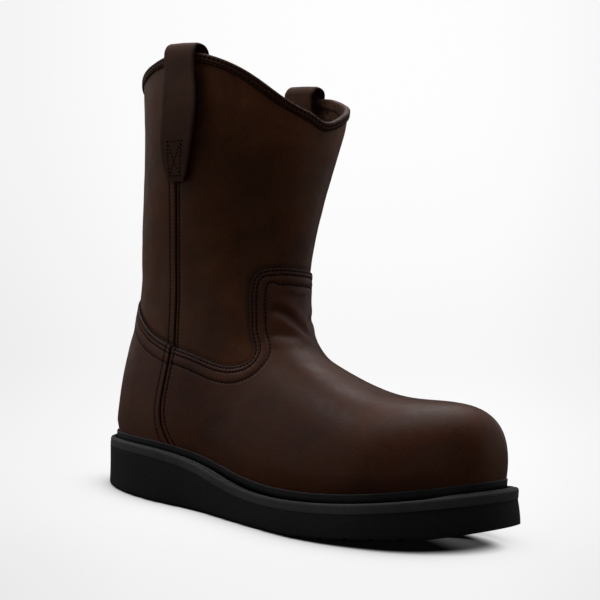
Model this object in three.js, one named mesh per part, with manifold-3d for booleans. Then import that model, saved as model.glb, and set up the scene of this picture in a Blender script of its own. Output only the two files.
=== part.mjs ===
// Pull-on work boot, right foot, wedge sole, steel toe. Millimetres, +Z up,
// +X to the toe, +Y to the inner (medial) side, -Y to the outer (lateral) side.
// The upper is one lofted surface (foot body smoothly joined to an elliptic
// shaft). Every leather, steel and lining layer is an offset of that surface,
// so neighbouring layers stay parallel with a real gap between them.
import * as THREE from 'three';
import { mergeVertices } from 'three/addons/utils/BufferGeometryUtils.js';
import Module from 'manifold-3d';

// ------------------------------------------------------------ form of the upper
// x from the heel, z of the feather line (where upper meets welt), centre y, half width
const FOOT = [
  [0, 37.4, 0, 30.6], [50, 38.8, 0, 32.5], [100, 35.4, -1, 35.9], [150, 26.4, -2.7, 40.4],
  [200, 26.0, -1.9, 44.7], [250, 33.4, 1.7, 47.1], [300, 45.4, 5.6, 46.4],
];
// x, z of the ridge along the top of the foot
const RIDGE = [
  [0, 97.0], [60, 125.6], [110, 128.2], [150, 110.7],
  [190, 93.1], [230, 83.6], [270, 89.0], [310, 102.7],
];
const HEEL_X = 5.1;
const HEEL_ROUND = 50.7;      // length over which the heel rounds off
const TOE_X = 297.7;
const TOE_ROUND = 72.5;
const PLAN_EXP = 2.17;        // superellipse exponents, in plan and in cross section
const SECTION_EXP = 2.83;
const TUCK = 0.05;            // share by which the foot narrows at the feather line
const TUCK_RISE = 0.22;       // share of the foot's height that narrowing reaches up
const FOOT_SCALE = 42;        // turns the foot's radius ratio into a distance
const JOIN = 34.6;            // softness of the join between foot and shaft
// z, centre x, fore-aft half size, side half size
const SHAFT = [
  [60, 61.5, 55, 38.1], [100, 68.7, 61.0, 37.3], [140, 74.5, 67.7, 41.3],
  [180, 78.2, 70.5, 49.0], [220, 82.6, 70.2, 59.1], [260, 86.9, 73.2, 67.6],
  [300, 85.5, 78.3, 67.2],
];
// topline heights, from the front round by the outer side
const TOPLINE_STEP = 15;      // degrees
const TOPLINE_Z = [
  255.8, 258.6, 261.9, 268.5, 279.5, 289.2, 292.2, 289.4, 285.6, 282.6, 279.3, 276.9,
  276.0, 276.9, 279.3, 282.6, 285.6, 289.4, 292.2, 289.0, 280.5, 273.1, 265.7, 259.1,
];
const TOPLINE_START = 0.66;   // level from which rows bend towards the topline

// ------------------------------------------------------------ surface grid
const COLUMNS = 36;
// levels of the rows: the hem, the feather line (0), then up to the topline (1)
const ROWS = [
  -0.045, 0, 0.06, 0.12, 0.18, 0.235, 0.27, 0.31, 0.36,
  0.42, 0.49, 0.56, 0.64, 0.73, 0.82, 0.91, 1.0,
];
// level, share of the shaft's level, rise above the feather line,
// height of the shaft's level at x = 0, its slope along x
const LEVELS = [
  [0, 0, 0, 46, 0], [.05, 0, 8, 52, 0], [.10, .15, 17, 58, .02],
  [.15, .5, 26, 63, .038], [.20, .8, 33, 67.5, .045], [.25, .95, 40, 72, .045],
  [.30, 1, 45, 77, .042], [.35, 1, 45, 84, .03], [.40, 1, 45, 92, .016],
  [.45, 1, 45, 101, 0], [.50, 1, 45, 111, .01], [.55, 1, 45, 122, .05],
  [.60, 1, 45, 135, .10], [.65, 1, 45, 150, .15], [.72, 1, 45, 172, .18],
  [.80, 1, 45, 202, .13], [.90, 1, 45, 243, .05], [1, 1, 45, 288, 0],
];
const LEVEL_TOP = LEVELS.at(-1)[3];
const SCAN_X = 70;            // a place inside the boot at every level
const SCAN_STEP = 2;
const RAY_HALF_WIDTH = 48;    // side reach of the rays that find the grid points
const RELAX_PASSES = 12;
const HEM = 4.2;              // upper layers run this far below the feather line

// ------------------------------------------------------------ sole
const LEDGE = [[0, 4.5], [130, 9.8], [258, 9.8], [290, 8.5], [302, 8.4]];  // x, welt width
const LIP = 4.6;              // welt ledge sits this far below the feather line
const WELT_T = 2.6;
const MID_T = 3.0;
const LAYER_GAP = 0.3;
// x, how far the foot of the sole stands out beyond the welt
const FLARE = [
  [0, -1.8], [30, -0.6], [80, 2.2], [130, 1.2], [250, 1.2], [290, 2.2], [302, 2.3],
];
const SOLE_ROUND = 2.2;
const SPRING = [              // x, height of the sole's underside
  [180, 0], [200, 0.5], [220, 2.8], [240, 6.1], [260, 9.2], [275, 11.9], [290, 15.6],
  [310, 21.2],
];
const GROOVE_X = [22, 36, 50, 206, 222, 238, 254, 270];
const GROOVE = { width: 3.2, length: 200, height: 4 };   // half its height is in the sole
const SOLE_MIDDLE_X = 150;    // outlines grow away from here
const WELT_LIP_FOOT = 3.7;    // outer foot of the welt's upstanding lip
const CORK_Z = [-7.0, -4.9];  // from the feather line, bottom and top
const SHANK = { x: 63, length: 100, y: -1, width: 16, thickness: 1.2, steps: 8 };
const SLOT = { endGap: 2, sideGap: 1.5, z: 30, height: 50 };   // room for it in the cork

// ------------------------------------------------------------ layers and panels
// offsets from the lofted surface; minus is inward
const SHAFT_LAYER = { out: -0.6, in: -2.4 };
const VAMP_LAYER = { out: 1.3, in: -0.2 };      // vamp and counter lap over the shaft
const CAP_LAYER = { out: -0.6, in: -2.4 };      // steel cap and heel stiffener
const LINING_LAYER = { out: -2.85, in: -3.9 };
// seams on the sides of the boot, z and x
const SIDE_SEAM = [
  [70, 77.8], [104, 76.9], [114, 76.3], [134, 76.1], [161, 76.5], [187, 79.4],
  [210, 82.8], [245, 88.0], [290, 90.0], [310, 90.0],
];
const LOW_SEAM = [
  [10, 101], [30, 86.5], [38.5, 80.2], [46.5, 74.8], [56.2, 71.2], [66.3, 70.6],
  [76.6, 71.8], [86.8, 73.4], [99, 75.2], [110, 76.8],
];
const SEAM_HALF = 0.9;        // half of the gap the piping sits in
// panel outlines seen from the side, x and z
const VAMP_EDGE = [
  [77.6, 102.4], [92.4, 99.7], [101.3, 97.6], [112.6, 94.9], [125, 93.7], [133.9, 95.3],
  [139.4, 98.6], [141.2, 103], [140.4, 108], [138.3, 112.5], [135.1, 124.5],
  [133.2, 137.4], [133.3, 147], [134.6, 152.6], [137.6, 156.8], [141, 158.7],
  [144.2, 159.5], [152, 159.8],
];
const VAMP_INNER = [          // innermost stitch row along that edge
  [78.4, 91.4], [89.2, 89.8], [102.7, 87.4], [115.8, 84.8], [130.1, 84.4],
  [140.1, 87.5], [147.2, 92.5], [150.2, 99.9], [148.3, 109.4], [144.6, 119],
  [141.5, 131.7], [140.2, 140.5], [140.3, 144.8], [141.7, 148.0], [144.7, 149.8],
  [152, 150.3],
];
const COUNTER_EDGE = [
  [-20, 154], [0, 142], [7.3, 137.6], [18.3, 130.6], [34.3, 120.3], [49, 111.9],
  [61.9, 106.8], [70.8, 104.2], [77.2, 102.5],
];
const FRONT_LOW = [           // lower edge of the front shaft leather, from the seam on
  [89, 88.4], [102.7, 86.4], [115.8, 83.6], [130, 83.1], [141.5, 86.2], [149.5, 92],
  [152.8, 100], [150, 110], [143.6, 132], [142.8, 143], [143.8, 146.4], [146.6, 148.4],
  [160, 148.6],
];
const UNDERLAP = 11;          // back shaft leather runs this far under the counter
const UNDERLAP_SLOPE = 1.12;  // drop in z for each millimetre square to the counter's edge
const CAP_EDGE = [[246, -20], [240, 60], [236, 130]];    // rear edge of the steel cap
const STRIP_GAP = 0.5;
const STRIP_W = 5.9;
const STIFFENER = [
  [-40, -20], [96, -20], [92, 36], [84, 58], [66, 74], [30, 88], [-40, 92],
];
const LINING_TOP = [[-60, 122], [60, 112], [120, 122], [170, 128]];
// cutting outlines run out to these places, clear of the boot
const FAR = 420;
const BEHIND = -60;
const BELOW = -10;
const CUT_DEPTH = 280;

// ------------------------------------------------------------ pull straps and trim
const STRAP_PATH = [          // centre line: z, distance from the boot's middle plane
  [211.5, 58.5], [216, 59.7], [223, 61.6], [232, 64.2], [245, 67.5], [256, 69.5],
  [268, 70.5], [282, 70.5], [290.8, 70.4], [295.6, 69.4], [298.6, 67.0], [299.5, 63.4],
  [298.9, 59.8], [296.2, 57.2], [291.4, 56.2], [284, 56.3], [266, 57.6], [250, 57.2],
  [240, 55.8], [230, 54.0], [220, 52.4], [212, 51.3],
];
const STRAP_TURN_END = 13;    // after this point the inner run begins
const STRAP_INNER_TRIM = 0.6; // taken off each side of the inner run
const STRAP_SLOPE = 0.085;    // the loop's top falls towards the toe
const MEDIAL_LEAN = { x: -3.0, z: 1.6 };   // the inner loop stands further back and higher
const STRAP_HALF = [          // z, half width
  [209.5, 7.6], [213.3, 8.7], [218.2, 11.0], [224.3, 13.1], [230.5, 14.3],
  [236.7, 15.0], [242.7, 15.5], [249, 15.7], [256, 15.7], [261, 15.5], [267.5, 15.1],
  [274, 14.6], [280.5, 14.2], [287, 14.0], [300, 13.6],
];
const STRAP_X = [             // z, x of the strap's middle
  [205, 84.4], [213, 85.4], [219, 85.8], [225, 86.6], [231, 88.0], [237.6, 89.6],
  [243.7, 91.4], [250, 93.0], [256, 94.2], [262, 94.4], [269, 94.1], [275.5, 93.3],
  [282, 92.6], [288.7, 91.8], [293, 91.2], [300, 90.6],
];
const STRAP_T = 2.0;
const STRAP_CHAMFER = { across: 0.8, deep: 0.4 };
const TACK_BOX = [[-4.6, 214.5], [4.6, 214.5], [6.2, 236], [-6.2, 236]];  // x from middle, z
const BIND_H = 6.0;           // depth of the topline binding
const PANEL_THREAD = { width: 1.1, height: 0.6, lift: 0.5 };
const BINDING_THREAD = { width: 1.0, height: 0.5, lift: 0.35 };
const TACK_THREAD = { width: 1.0, height: 0.6, lift: 0.35 };
const SIDES = [['lateral', 1], ['medial', -1]];

// ------------------------------------------------------------ small maths
const TURN = 2 * Math.PI;
const clamp = (value, low, high) => Math.min(high, Math.max(low, value));
const smooth = value => {
  const t = clamp(value, 0, 1);
  return t * t * (3 - 2 * t);
};
const series = (count, make) => Array.from({ length: count }, (_, i) => make(i));

// natural cubic spline through table rows, continued in straight lines
class Spline {
  constructor(rows, column = 1) {
    const knots = rows.map(row => row[0]);
    const values = rows.map(row => row[column]);
    const gaps = knots.slice(1).map((knot, i) => knot - knots[i]);
    const slopes = gaps.map((gap, i) => (values[i + 1] - values[i]) / gap);
    const bends = new Array(knots.length).fill(0);    // second derivatives
    const upper = new Array(knots.length).fill(0);
    for (let i = 1; i < gaps.length; i++) {
      const pivot = 2 * (gaps[i - 1] + gaps[i]) - gaps[i - 1] * upper[i - 1];
      upper[i] = gaps[i] / pivot;
      bends[i] = (6 * (slopes[i] - slopes[i - 1]) - gaps[i - 1] * bends[i - 1]) / pivot;
    }
    for (let i = gaps.length - 1; i > 0; i--) bends[i] -= upper[i] * bends[i + 1];
    Object.assign(this, { knots, values, gaps, slopes, bends });
  }

  at(t) {
    const { knots, values, gaps, slopes, bends } = this;
    const last = gaps.length;
    if (t < knots[0]) {
      return values[0] + (slopes[0] - gaps[0] * bends[1] / 6) * (t - knots[0]);
    }
    if (t > knots[last]) {
      const slope = slopes[last - 1] + gaps[last - 1] * bends[last - 1] / 6;
      return values[last] + slope * (t - knots[last]);
    }
    let i = 0;
    while (i < last - 1 && t > knots[i + 1]) i++;
    const before = (knots[i + 1] - t) / gaps[i];
    const after = (t - knots[i]) / gaps[i];
    const curve = (before ** 3 - before) * bends[i] + (after ** 3 - after) * bends[i + 1];
    return before * values[i] + after * values[i + 1] + curve * gaps[i] * gaps[i] / 6;
  }
}

// straight-line reading of a table, held level beyond its ends
function lerp(rows, t, column = 1) {
  const i = rows.findIndex(row => t <= row[0]);
  if (i === 0) return rows[0][column];
  if (i < 0) return rows.at(-1)[column];
  const from = rows[i - 1];
  const to = rows[i];
  return from[column] + (to[column] - from[column]) * (t - from[0]) / (to[0] - from[0]);
}

function bisect(low, high, rounds, goHigher) {
  for (let k = 0; k < rounds; k++) {
    const middle = (low + high) / 2;
    if (goHigher(middle)) low = middle;
    else high = middle;
  }
  return (low + high) / 2;
}

// copy of a point moved by [direction, distance] pairs
const moved = (point, ...moves) => moves.reduce(
  (sum, [direction, distance]) => sum.addScaledVector(direction, distance), point.clone());

function runningLength(points) {
  const lengths = [0];
  for (let i = 1; i < points.length; i++) {
    lengths.push(lengths[i - 1] + points[i].distanceTo(points[i - 1]));
  }
  return lengths;
}

// count + 1 number pairs along a line, even in the running lengths
function evenly(line, lengths, count) {
  return series(count + 1, k => {
    const target = lengths.at(-1) * k / count;
    let i = 1;
    while (i < lengths.length - 1 && target > lengths[i]) i++;
    const share = (target - lengths[i - 1]) / (lengths[i] - lengths[i - 1]);
    return line[i].map((value, c) => line[i - 1][c] + (value - line[i - 1][c]) * share);
  });
}

// ------------------------------------------------------------ lofted surface
const featherZ = new Spline(FOOT, 1);
const footCentre = new Spline(FOOT, 2);
const footHalf = new Spline(FOOT, 3);
const ridgeZ = new Spline(RIDGE);
const shaftCentre = new Spline(SHAFT, 1);
const shaftLong = new Spline(SHAFT, 2);
const shaftWide = new Spline(SHAFT, 3);
const levelHeight = new Spline(LEVELS, 3);
// three heights are repeated before and after the full turn
const toplineZ = new Spline(series(TOPLINE_Z.length + 7, k => [
  (k - 3) * TOPLINE_STEP * Math.PI / 180,
  TOPLINE_Z[(k - 3 + TOPLINE_Z.length) % TOPLINE_Z.length],
]));

// rough distance from the surface, negative inside
function field(x, y, z) {
  const radius = (a, b, power) => (a ** power + b ** power) ** (1 / power);
  const low = featherZ.at(x);
  const rise = (z - low) / (ridgeZ.at(x) - low);
  const tuck = 1 - TUCK * clamp(1 - rise / TUCK_RISE, 0, 1) ** 2;
  const across = Math.abs(y - footCentre.at(x)) / (footHalf.at(x) * tuck);
  const along = Math.max(0, (x - (TOE_X - TOE_ROUND)) / TOE_ROUND)
    + Math.max(0, (HEEL_X + HEEL_ROUND - x) / HEEL_ROUND);
  const plan = radius(across, along, PLAN_EXP);
  const foot = (radius(plan, Math.max(0, rise), SECTION_EXP) - 1) * FOOT_SCALE;
  const long = shaftLong.at(z);
  const wide = shaftWide.at(z);
  const ratio = Math.hypot((x - shaftCentre.at(z)) / long, y / wide);
  const shaft = (ratio - 1) * 0.5 * (long + wide);
  const blend = clamp(0.5 + 0.5 * (shaft - foot) / JOIN, 0, 1);
  return shaft * (1 - blend) + foot * blend - JOIN * blend * (1 - blend);
}

function gradient({ x, y, z }) {
  const step = 0.6;
  return new THREE.Vector3(
    field(x + step, y, z) - field(x - step, y, z),
    field(x, y + step, z) - field(x, y - step, z),
    field(x, y, z + step) - field(x, y, z - step),
  ).divideScalar(2 * step);
}

// height of level v at x; phi runs from the front round by the outer side
function levelZ(v, phi, x) {
  const shaftShare = lerp(LEVELS, v, 1);
  const topShare = smooth((v - TOPLINE_START) / (1 - TOPLINE_START));
  return (1 - shaftShare) * (featherZ.at(x) + lerp(LEVELS, v, 2))
    + shaftShare * (levelHeight.at(v) + lerp(LEVELS, v, 4) * x)
    + topShare * (toplineZ.at(phi) - LEVEL_TOP);
}

// x where a level leaves the surface on the middle plane
function levelEnd(v, step) {
  const fieldAtX = x => field(x, 0, levelZ(v, Math.PI / 2, x));
  let x = SCAN_X;
  while (fieldAtX(x + step) <= 0) x += step;
  const inside = fieldAtX(x);
  return x + step * -inside / (fieldAtX(x + step) - inside + 1e-9);
}

function levelRing(v) {
  const front = levelEnd(v, SCAN_STEP);
  const back = levelEnd(v, -SCAN_STEP);
  return series(COLUMNS, i => {
    const phi = TURN * i / COLUMNS;
    const onRay = reach => {
      const x = (front + back) / 2 + reach * Math.cos(phi) * (front - back) / 2;
      return new THREE.Vector3(x, -reach * Math.sin(phi) * RAY_HALF_WIDTH, levelZ(v, phi, x));
    };
    return onRay(bisect(0, 1.6, 26, reach => field(...onRay(reach)) < 0));
  });
}

const TOP_ROW = ROWS.length - 1;
const grid = ROWS.map((v, j) => (j === 0 ? [] : levelRing(v)));

// slide the grid points along the surface until their spacing is even; the
// feather line and the topline keep their places
function relaxRow(j, rounds) {
  const row = grid[j].map((point, i) => moved(point.clone().multiplyScalar(0.4),
    [grid[j][(i + 1) % COLUMNS], 0.15], [grid[j][(i + COLUMNS - 1) % COLUMNS], 0.15],
    [grid[j - 1][i], 0.15], [grid[j + 1][i], 0.15]));
  row.forEach((point, i) => {
    for (let k = 0; k < rounds; k++) {
      const slope = gradient(point);
      point.addScaledVector(slope, -field(...point) / slope.lengthSq());
    }
    // the first row above the feather line may not sink onto it
    if (j !== 2 || point.z >= featherZ.at(point.x) + 3) grid[j][i] = point;
  });
}
for (let pass = 1; pass <= RELAX_PASSES; pass++) {
  for (let j = 2; j < TOP_ROW; j++) relaxRow(j, pass === RELAX_PASSES ? 4 : 1);
}
const normals = grid.map(row => row.map(point => gradient(point).normalize()));

// the hem row hangs straight below the feather line
const featherRing = grid[1];
grid[0] = featherRing.map(({ x, y, z }) => new THREE.Vector3(x, y, z - HEM));
for (const normal of normals[1]) normal.setZ(0).normalize();
normals[0] = normals[1].map(normal => normal.clone());

// point and unscaled normal on the faceted surface at (phi, v)
function surfaceAt(phi, v) {
  const turn = ((phi % TURN) + TURN) % TURN;
  const column = turn / TURN * COLUMNS;
  const i = Math.floor(column) % COLUMNS;
  const next = (i + 1) % COLUMNS;
  const across = column - Math.floor(column);
  let j = 0;
  while (j < TOP_ROW - 1 && v > ROWS[j + 1]) j++;
  const up = clamp((v - ROWS[j]) / (ROWS[j + 1] - ROWS[j]), 0, 1);
  const mix = rows => {
    const start = rows[j][i];
    const far = rows[j + 1][next];
    const [corner, first, second] = up >= across
      ? [rows[j + 1][i], up, across] : [rows[j][next], across, up];
    return moved(start,
      [corner.clone().sub(start), first], [far.clone().sub(corner), second]);
  };
  return { point: mix(grid), normal: mix(normals) };
}

const vAtZ = (phi, z) => bisect(0, 1, 24, v => surfaceAt(phi, v).point.z < z);

// [phi, v] of the point at (x, z) on the outer (side 1) or inner (side -1) face
function atXZ(x, z, side) {
  const phiOf = angle => (side > 0 ? angle : TURN - angle);
  const phi = phiOf(bisect(0.02, Math.PI - 0.02, 24, angle => {
    const trial = phiOf(angle);
    return surfaceAt(trial, vAtZ(trial, z)).point.x > x;
  }));
  return [phi, vAtZ(phi, z)];
}

// ------------------------------------------------------------ solids
const wasm = await Module();
wasm.setup();

const quad = (a, b, c, d) => [[a, b, c], [a, c, d]];

// indexed geometry, turned so that its faces point outwards
function geometryOf(points, triangles) {
  const geometry = new THREE.BufferGeometry().setFromPoints(points);
  let volume = 0;
  for (const [a, b, c] of triangles) {
    volume += points[a].dot(points[b].clone().cross(points[c]));
  }
  const turned = volume < 0 ? triangles.map(([a, b, c]) => [a, c, b]) : triangles;
  return geometry.setIndex(turned.flat());
}

function solid(geometry) {
  geometry.deleteAttribute('normal');
  geometry.deleteAttribute('uv');
  const merged = mergeVertices(geometry, 1e-4);
  return new wasm.Manifold(new wasm.Mesh({
    numProp: 3,
    vertProperties: new Float32Array(merged.attributes.position.array),
    triVerts: new Uint32Array(merged.index.array),
  }));
}

function surfaceOf(manifold) {
  const mesh = manifold.getMesh();
  const geometry = new THREE.BufferGeometry();
  const positions = new Float32Array(mesh.vertProperties);
  geometry.setAttribute('position', new THREE.BufferAttribute(positions, 3));
  return geometry.setIndex(Array.from(mesh.triVerts));
}

// closed ring between a layer's two offsets, over the grid rows firstRow to lastRow
function shell(layer, firstRow, lastRow) {
  const points = [];
  const triangles = [];
  const last = lastRow - firstRow;
  for (const offset of [layer.out, layer.in]) {
    for (let j = firstRow; j <= lastRow; j++) {
      grid[j].forEach((point, i) => points.push(moved(point, [normals[j][i], offset])));
    }
  }
  for (let i = 0; i < COLUMNS; i++) {
    const next = (i + 1) % COLUMNS;
    const outer = (row, column) => row * COLUMNS + column;
    const inner = (row, column) => (last + 1 + row) * COLUMNS + column;
    for (let r = 0; r < last; r++) {
      triangles.push(
        ...quad(outer(r, i), outer(r + 1, i), outer(r + 1, next), outer(r, next)),
        ...quad(inner(r, i), inner(r, next), inner(r + 1, next), inner(r + 1, i)));
    }
    triangles.push(
      ...quad(outer(0, i), outer(0, next), inner(0, next), inner(0, i)),
      ...quad(outer(last, i), inner(last, i), inner(last, next), outer(last, next)));
  }
  return solid(geometryOf(points, triangles));
}

// prism right across the boot from an (x, z) outline
function prism(corners) {
  const shape = new THREE.Shape(corners.map(corner => new THREE.Vector2(...corner)));
  const geometry = new THREE.ExtrudeGeometry(shape, { depth: CUT_DEPTH, bevelEnabled: false });
  geometry.rotateX(Math.PI / 2);
  geometry.translate(0, CUT_DEPTH / 2, 0);
  return solid(geometry);
}

// sections joined in order; closed into a ring, or open with end caps
function sweep(sections, closed = false) {
  const count = sections.length;
  const size = sections[0].length;
  const triangles = [];
  for (let i = 0; i < (closed ? count : count - 1); i++) {
    const here = i * size;
    const next = ((i + 1) % count) * size;
    for (let a = 0; a < size; a++) {
      const b = (a + 1) % size;
      triangles.push(...quad(here + a, next + a, next + b, here + b));
    }
  }
  const end = (count - 1) * size;
  for (let a = 1; a < size - 1 && !closed; a++) {
    triangles.push([0, a, a + 1], [end, end + a + 1, end + a]);
  }
  return geometryOf(sections.flat(), triangles);
}

// plate with the same outline at several levels, bottom to top
function plate(levels) {
  const size = levels[0].length;
  const top = (levels.length - 1) * size;
  const triangles = [];
  for (let base = 0; base < top; base += size) {
    for (let i = 0; i < size; i++) {
      const a = base + i;
      const b = base + (i + 1) % size;
      triangles.push(...quad(a, b, b + size, a + size));
    }
  }
  // ladder caps: point i of one side faces point size - i of the other side
  const half = size / 2;
  const cap = [[0, 1, size - 1]];
  for (let i = 1; i < half - 1; i++) cap.push(...quad(i, i + 1, size - i - 1, size - i));
  cap.push([half - 1, half, half + 1]);
  triangles.push(...cap.map(([a, b, c]) => [a, c, b]));
  triangles.push(...cap.map(corners => corners.map(corner => corner + top)));
  return geometryOf(levels.flat(), triangles);
}

// ------------------------------------------------------------ materials and assembly
const finish = options => new THREE.MeshStandardMaterial(options);
const LEATHER = finish({ color: 0x5b4030, roughness: 0.62 });
const LEATHER_SHAFT = finish({ color: 0x573826, roughness: 0.64 });
const STRAP = finish({ color: 0x4d3729, roughness: 0.68 });
const THREAD = finish({ color: 0x2a1c14, roughness: 0.8 });
const RUBBER = finish({ color: 0x1d1d1f, roughness: 0.8 });
const WELT = finish({ color: 0x3a3a3d, roughness: 0.55 });
const STEEL = finish({ color: 0x9a9c9e, roughness: 0.4, metalness: 0.9 });
const TEXTILE = finish({ color: 0x3b3632, roughness: 0.95 });
const CORK = finish({ color: 0x9b7a52, roughness: 0.95 });
const BOARD = finish({ color: 0xb79a72, roughness: 0.9 });
const FOAM = finish({ color: 0x2b2d30, roughness: 0.9 });
const STIFF = finish({ color: 0xcfc9bd, roughness: 0.85 });

const boot = new THREE.Group();
function add(name, geometry, material) {
  const mesh = new THREE.Mesh(geometry, material);
  mesh.name = name;
  boot.add(mesh);
}

// ------------------------------------------------------------ sole unit
// plan outline of the feather line moved outwards by a distance or a function of x
function outline(offset) {
  return featherRing.map((point, i) => {
    const before = featherRing[(i + COLUMNS - 1) % COLUMNS];
    const after = featherRing[(i + 1) % COLUMNS];
    const along = new THREE.Vector2(after.x - before.x, after.y - before.y).normalize();
    const side = new THREE.Vector2(-along.y, along.x);
    if ((point.x - SOLE_MIDDLE_X) * side.x + point.y * side.y < 0) side.negate();
    const distance = typeof offset === 'function' ? offset(point.x) : offset;
    return new THREE.Vector2(point.x + side.x * distance, point.y + side.y * distance);
  });
}
// the same outline in space, at a height from the feather line
const rim = (offset, rise) => outline(offset).map(
  ({ x, y }, i) => new THREE.Vector3(x, y, featherZ.at(featherRing[i].x) + rise));
const rimPlate = profile => plate(profile.map(([offset, rise]) => rim(offset, rise)));
function rimRing(profile) {
  const columns = profile.map(([offset, rise]) => rim(offset, rise));
  return sweep(featherRing.map((_, i) => columns.map(column => column[i])), true);
}
const ledge = x => lerp(LEDGE, x);

function outsole() {
  const soleEdge = x => ledge(x) + lerp(FLARE, x);
  const onGround = (offset, rise) => outline(offset).map(
    ({ x, y }) => new THREE.Vector3(x, y, lerp(SPRING, x) + rise));
  let body = solid(plate([
    onGround(x => soleEdge(x) - SOLE_ROUND, 0),
    onGround(soleEdge, SOLE_ROUND),
    rim(ledge, -(LIP + WELT_T + MID_T + 2 * LAYER_GAP)),
  ]));
  for (const x of GROOVE_X) {       // tread grooves across the sole
    const groove = new THREE.BoxGeometry(GROOVE.width, GROOVE.length, GROOVE.height);
    groove.translate(x, 0, lerp(SPRING, x));
    body = body.subtract(solid(groove));
  }
  return surfaceOf(body);
}

function midsole() {
  const edge = x => ledge(x) + 0.1;
  const top = -(LIP + WELT_T + LAYER_GAP);
  return rimPlate([[edge, top - MID_T], [edge, top]]);
}

const stormWelt = () => rimRing([
  [-1.4, -LIP - 0.1], [-1.4, -LIP - WELT_T], [ledge, -LIP - WELT_T], [ledge, -LIP],
  [WELT_LIP_FOOT, -LIP], [3.3, -0.5], [2.0, 0.1], [2.0, -LIP - 0.1],
]);

function weltStitch() {
  const start = WELT_LIP_FOOT + 0.05;
  const across = share => x => start + (ledge(x) - start) * share;
  return rimRing([
    [across(0.3), -LIP + 0.35], [across(0.62), -LIP + 0.35], [across(0.46), -LIP + 0.95],
  ]);
}

function corkFiller() {
  const slot = new THREE.BoxGeometry(
    SHANK.length + 2 * SLOT.endGap, SHANK.width + 2 * SLOT.sideGap, SLOT.height);
  slot.translate(SHANK.x + SHANK.length / 2, SHANK.y, SLOT.z);
  return surfaceOf(solid(rimPlate(CORK_Z.map(z => [-4.6, z]))).subtract(solid(slot)));
}

function steelShank() {
  const low = SHANK.y - SHANK.width / 2;
  const high = SHANK.y + SHANK.width / 2;
  const half = SHANK.thickness / 2;
  return sweep(series(SHANK.steps + 1, k => {
    const x = SHANK.x + SHANK.length * k / SHANK.steps;
    const z = featherZ.at(x) + (CORK_Z[0] + CORK_Z[1]) / 2;
    return [[low, -half], [high, -half], [high, half], [low, half]]
      .map(([y, rise]) => new THREE.Vector3(x, y, z + rise));
  }));
}

add('outsole', outsole(), RUBBER);
add('midsole', midsole(), WELT);
add('storm_welt', stormWelt(), WELT);
add('welt_stitch', weltStitch(), THREAD);
add('insole_rib', rimRing([[-2.2, -7.0], [-2.2, -4.95], [-4.0, -4.95], [-4.0, -7.0]]), BOARD);
add('insole_board', rimPlate([[-4.5, -4.5], [-4.5, -2.5]]), BOARD);
add('cork_filler', corkFiller(), CORK);
add('steel_shank', steelShank(), STEEL);

// ------------------------------------------------------------ panels of the upper
const sideSeam = new Spline(SIDE_SEAM);
const lowSeam = new Spline(LOW_SEAM);
const seamLine = (seam, fromZ, toZ, steps, shift) => series(steps + 1, i => {
  const z = fromZ + (toZ - fromZ) * i / steps;
  return [seam.at(z) + shift, z];
});

const highestZ = points => Math.max(...points.map(point => point.z));
// first row that lies wholly above z
const rowAbove = z => grid.findIndex(row => Math.min(...row.map(point => point.z)) > z);
// last row whose part behind x lies wholly below z
const rowBelow = (z, x) => grid.findLastIndex(
  row => highestZ(row.filter(point => point.x < x)) < z);

const vampShell = shell(VAMP_LAYER, 0, rowAbove(162));
const shaftShell = shell(SHAFT_LAYER, rowBelow(82, 160), TOP_ROW);
const capShell = shell(CAP_LAYER, 0, rowAbove(96));
const liningShell = shell(LINING_LAYER, 0, rowAbove(129));
const panel = (layer, corners) => surfaceOf(layer.intersect(prism(corners)));

const vampTop = VAMP_EDGE.at(-1)[1];
add('vamp', panel(vampShell, [
  ...seamLine(lowSeam, BELOW, 100, 22, SEAM_HALF), ...VAMP_EDGE,
  [FAR, vampTop], [FAR, BELOW],
]), LEATHER);
add('heel_counter', panel(vampShell, [
  ...seamLine(lowSeam, 100, BELOW, 22, -SEAM_HALF), [BEHIND, BELOW],
  [BEHIND, COUNTER_EDGE[0][1]], ...COUNTER_EDGE.slice(0, -1),
  [lowSeam.at(102.6) - SEAM_HALF, 102.9],
]), LEATHER);
add('shaft_front', panel(shaftShell, [
  [sideSeam.at(91) + SEAM_HALF, 91.2], ...FRONT_LOW,
  [FAR, FRONT_LOW.at(-1)[1]], [FAR, FAR],
  ...seamLine(sideSeam, FAR, 98, 14, SEAM_HALF).filter(([, z]) => z <= 320 || z === FAR),
]), LEATHER_SHAFT);
const backLow = COUNTER_EDGE.slice(0, -1).map(([x, z]) => [x, z - UNDERLAP * UNDERLAP_SLOPE]);
add('shaft_back', panel(shaftShell, [
  [sideSeam.at(FAR) - SEAM_HALF, FAR], [BEHIND, FAR], [BEHIND, backLow[0][1]], ...backLow,
  ...seamLine(sideSeam, 92, 320, 12, -SEAM_HALF),
]), LEATHER_SHAFT);
add('steel_toe_cap', panel(capShell, [
  ...CAP_EDGE, [FAR, CAP_EDGE.at(-1)[1]], [FAR, CAP_EDGE[0][1]],
]), STEEL);
const behindCap = distance => CAP_EDGE.map(([x, z]) => [x - distance, z]);
add('toe_cap_edge_strip', panel(capShell, [
  ...behindCap(STRIP_GAP + STRIP_W), ...behindCap(STRIP_GAP).reverse(),
]), RUBBER);
add('heel_stiffener', panel(capShell, STIFFENER), STIFF);
add('foot_lining', panel(liningShell, [
  [BEHIND, -20], ...LINING_TOP, [FAR, LINING_TOP.at(-1)[1]], [FAR, -20],
]), TEXTILE);

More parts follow.
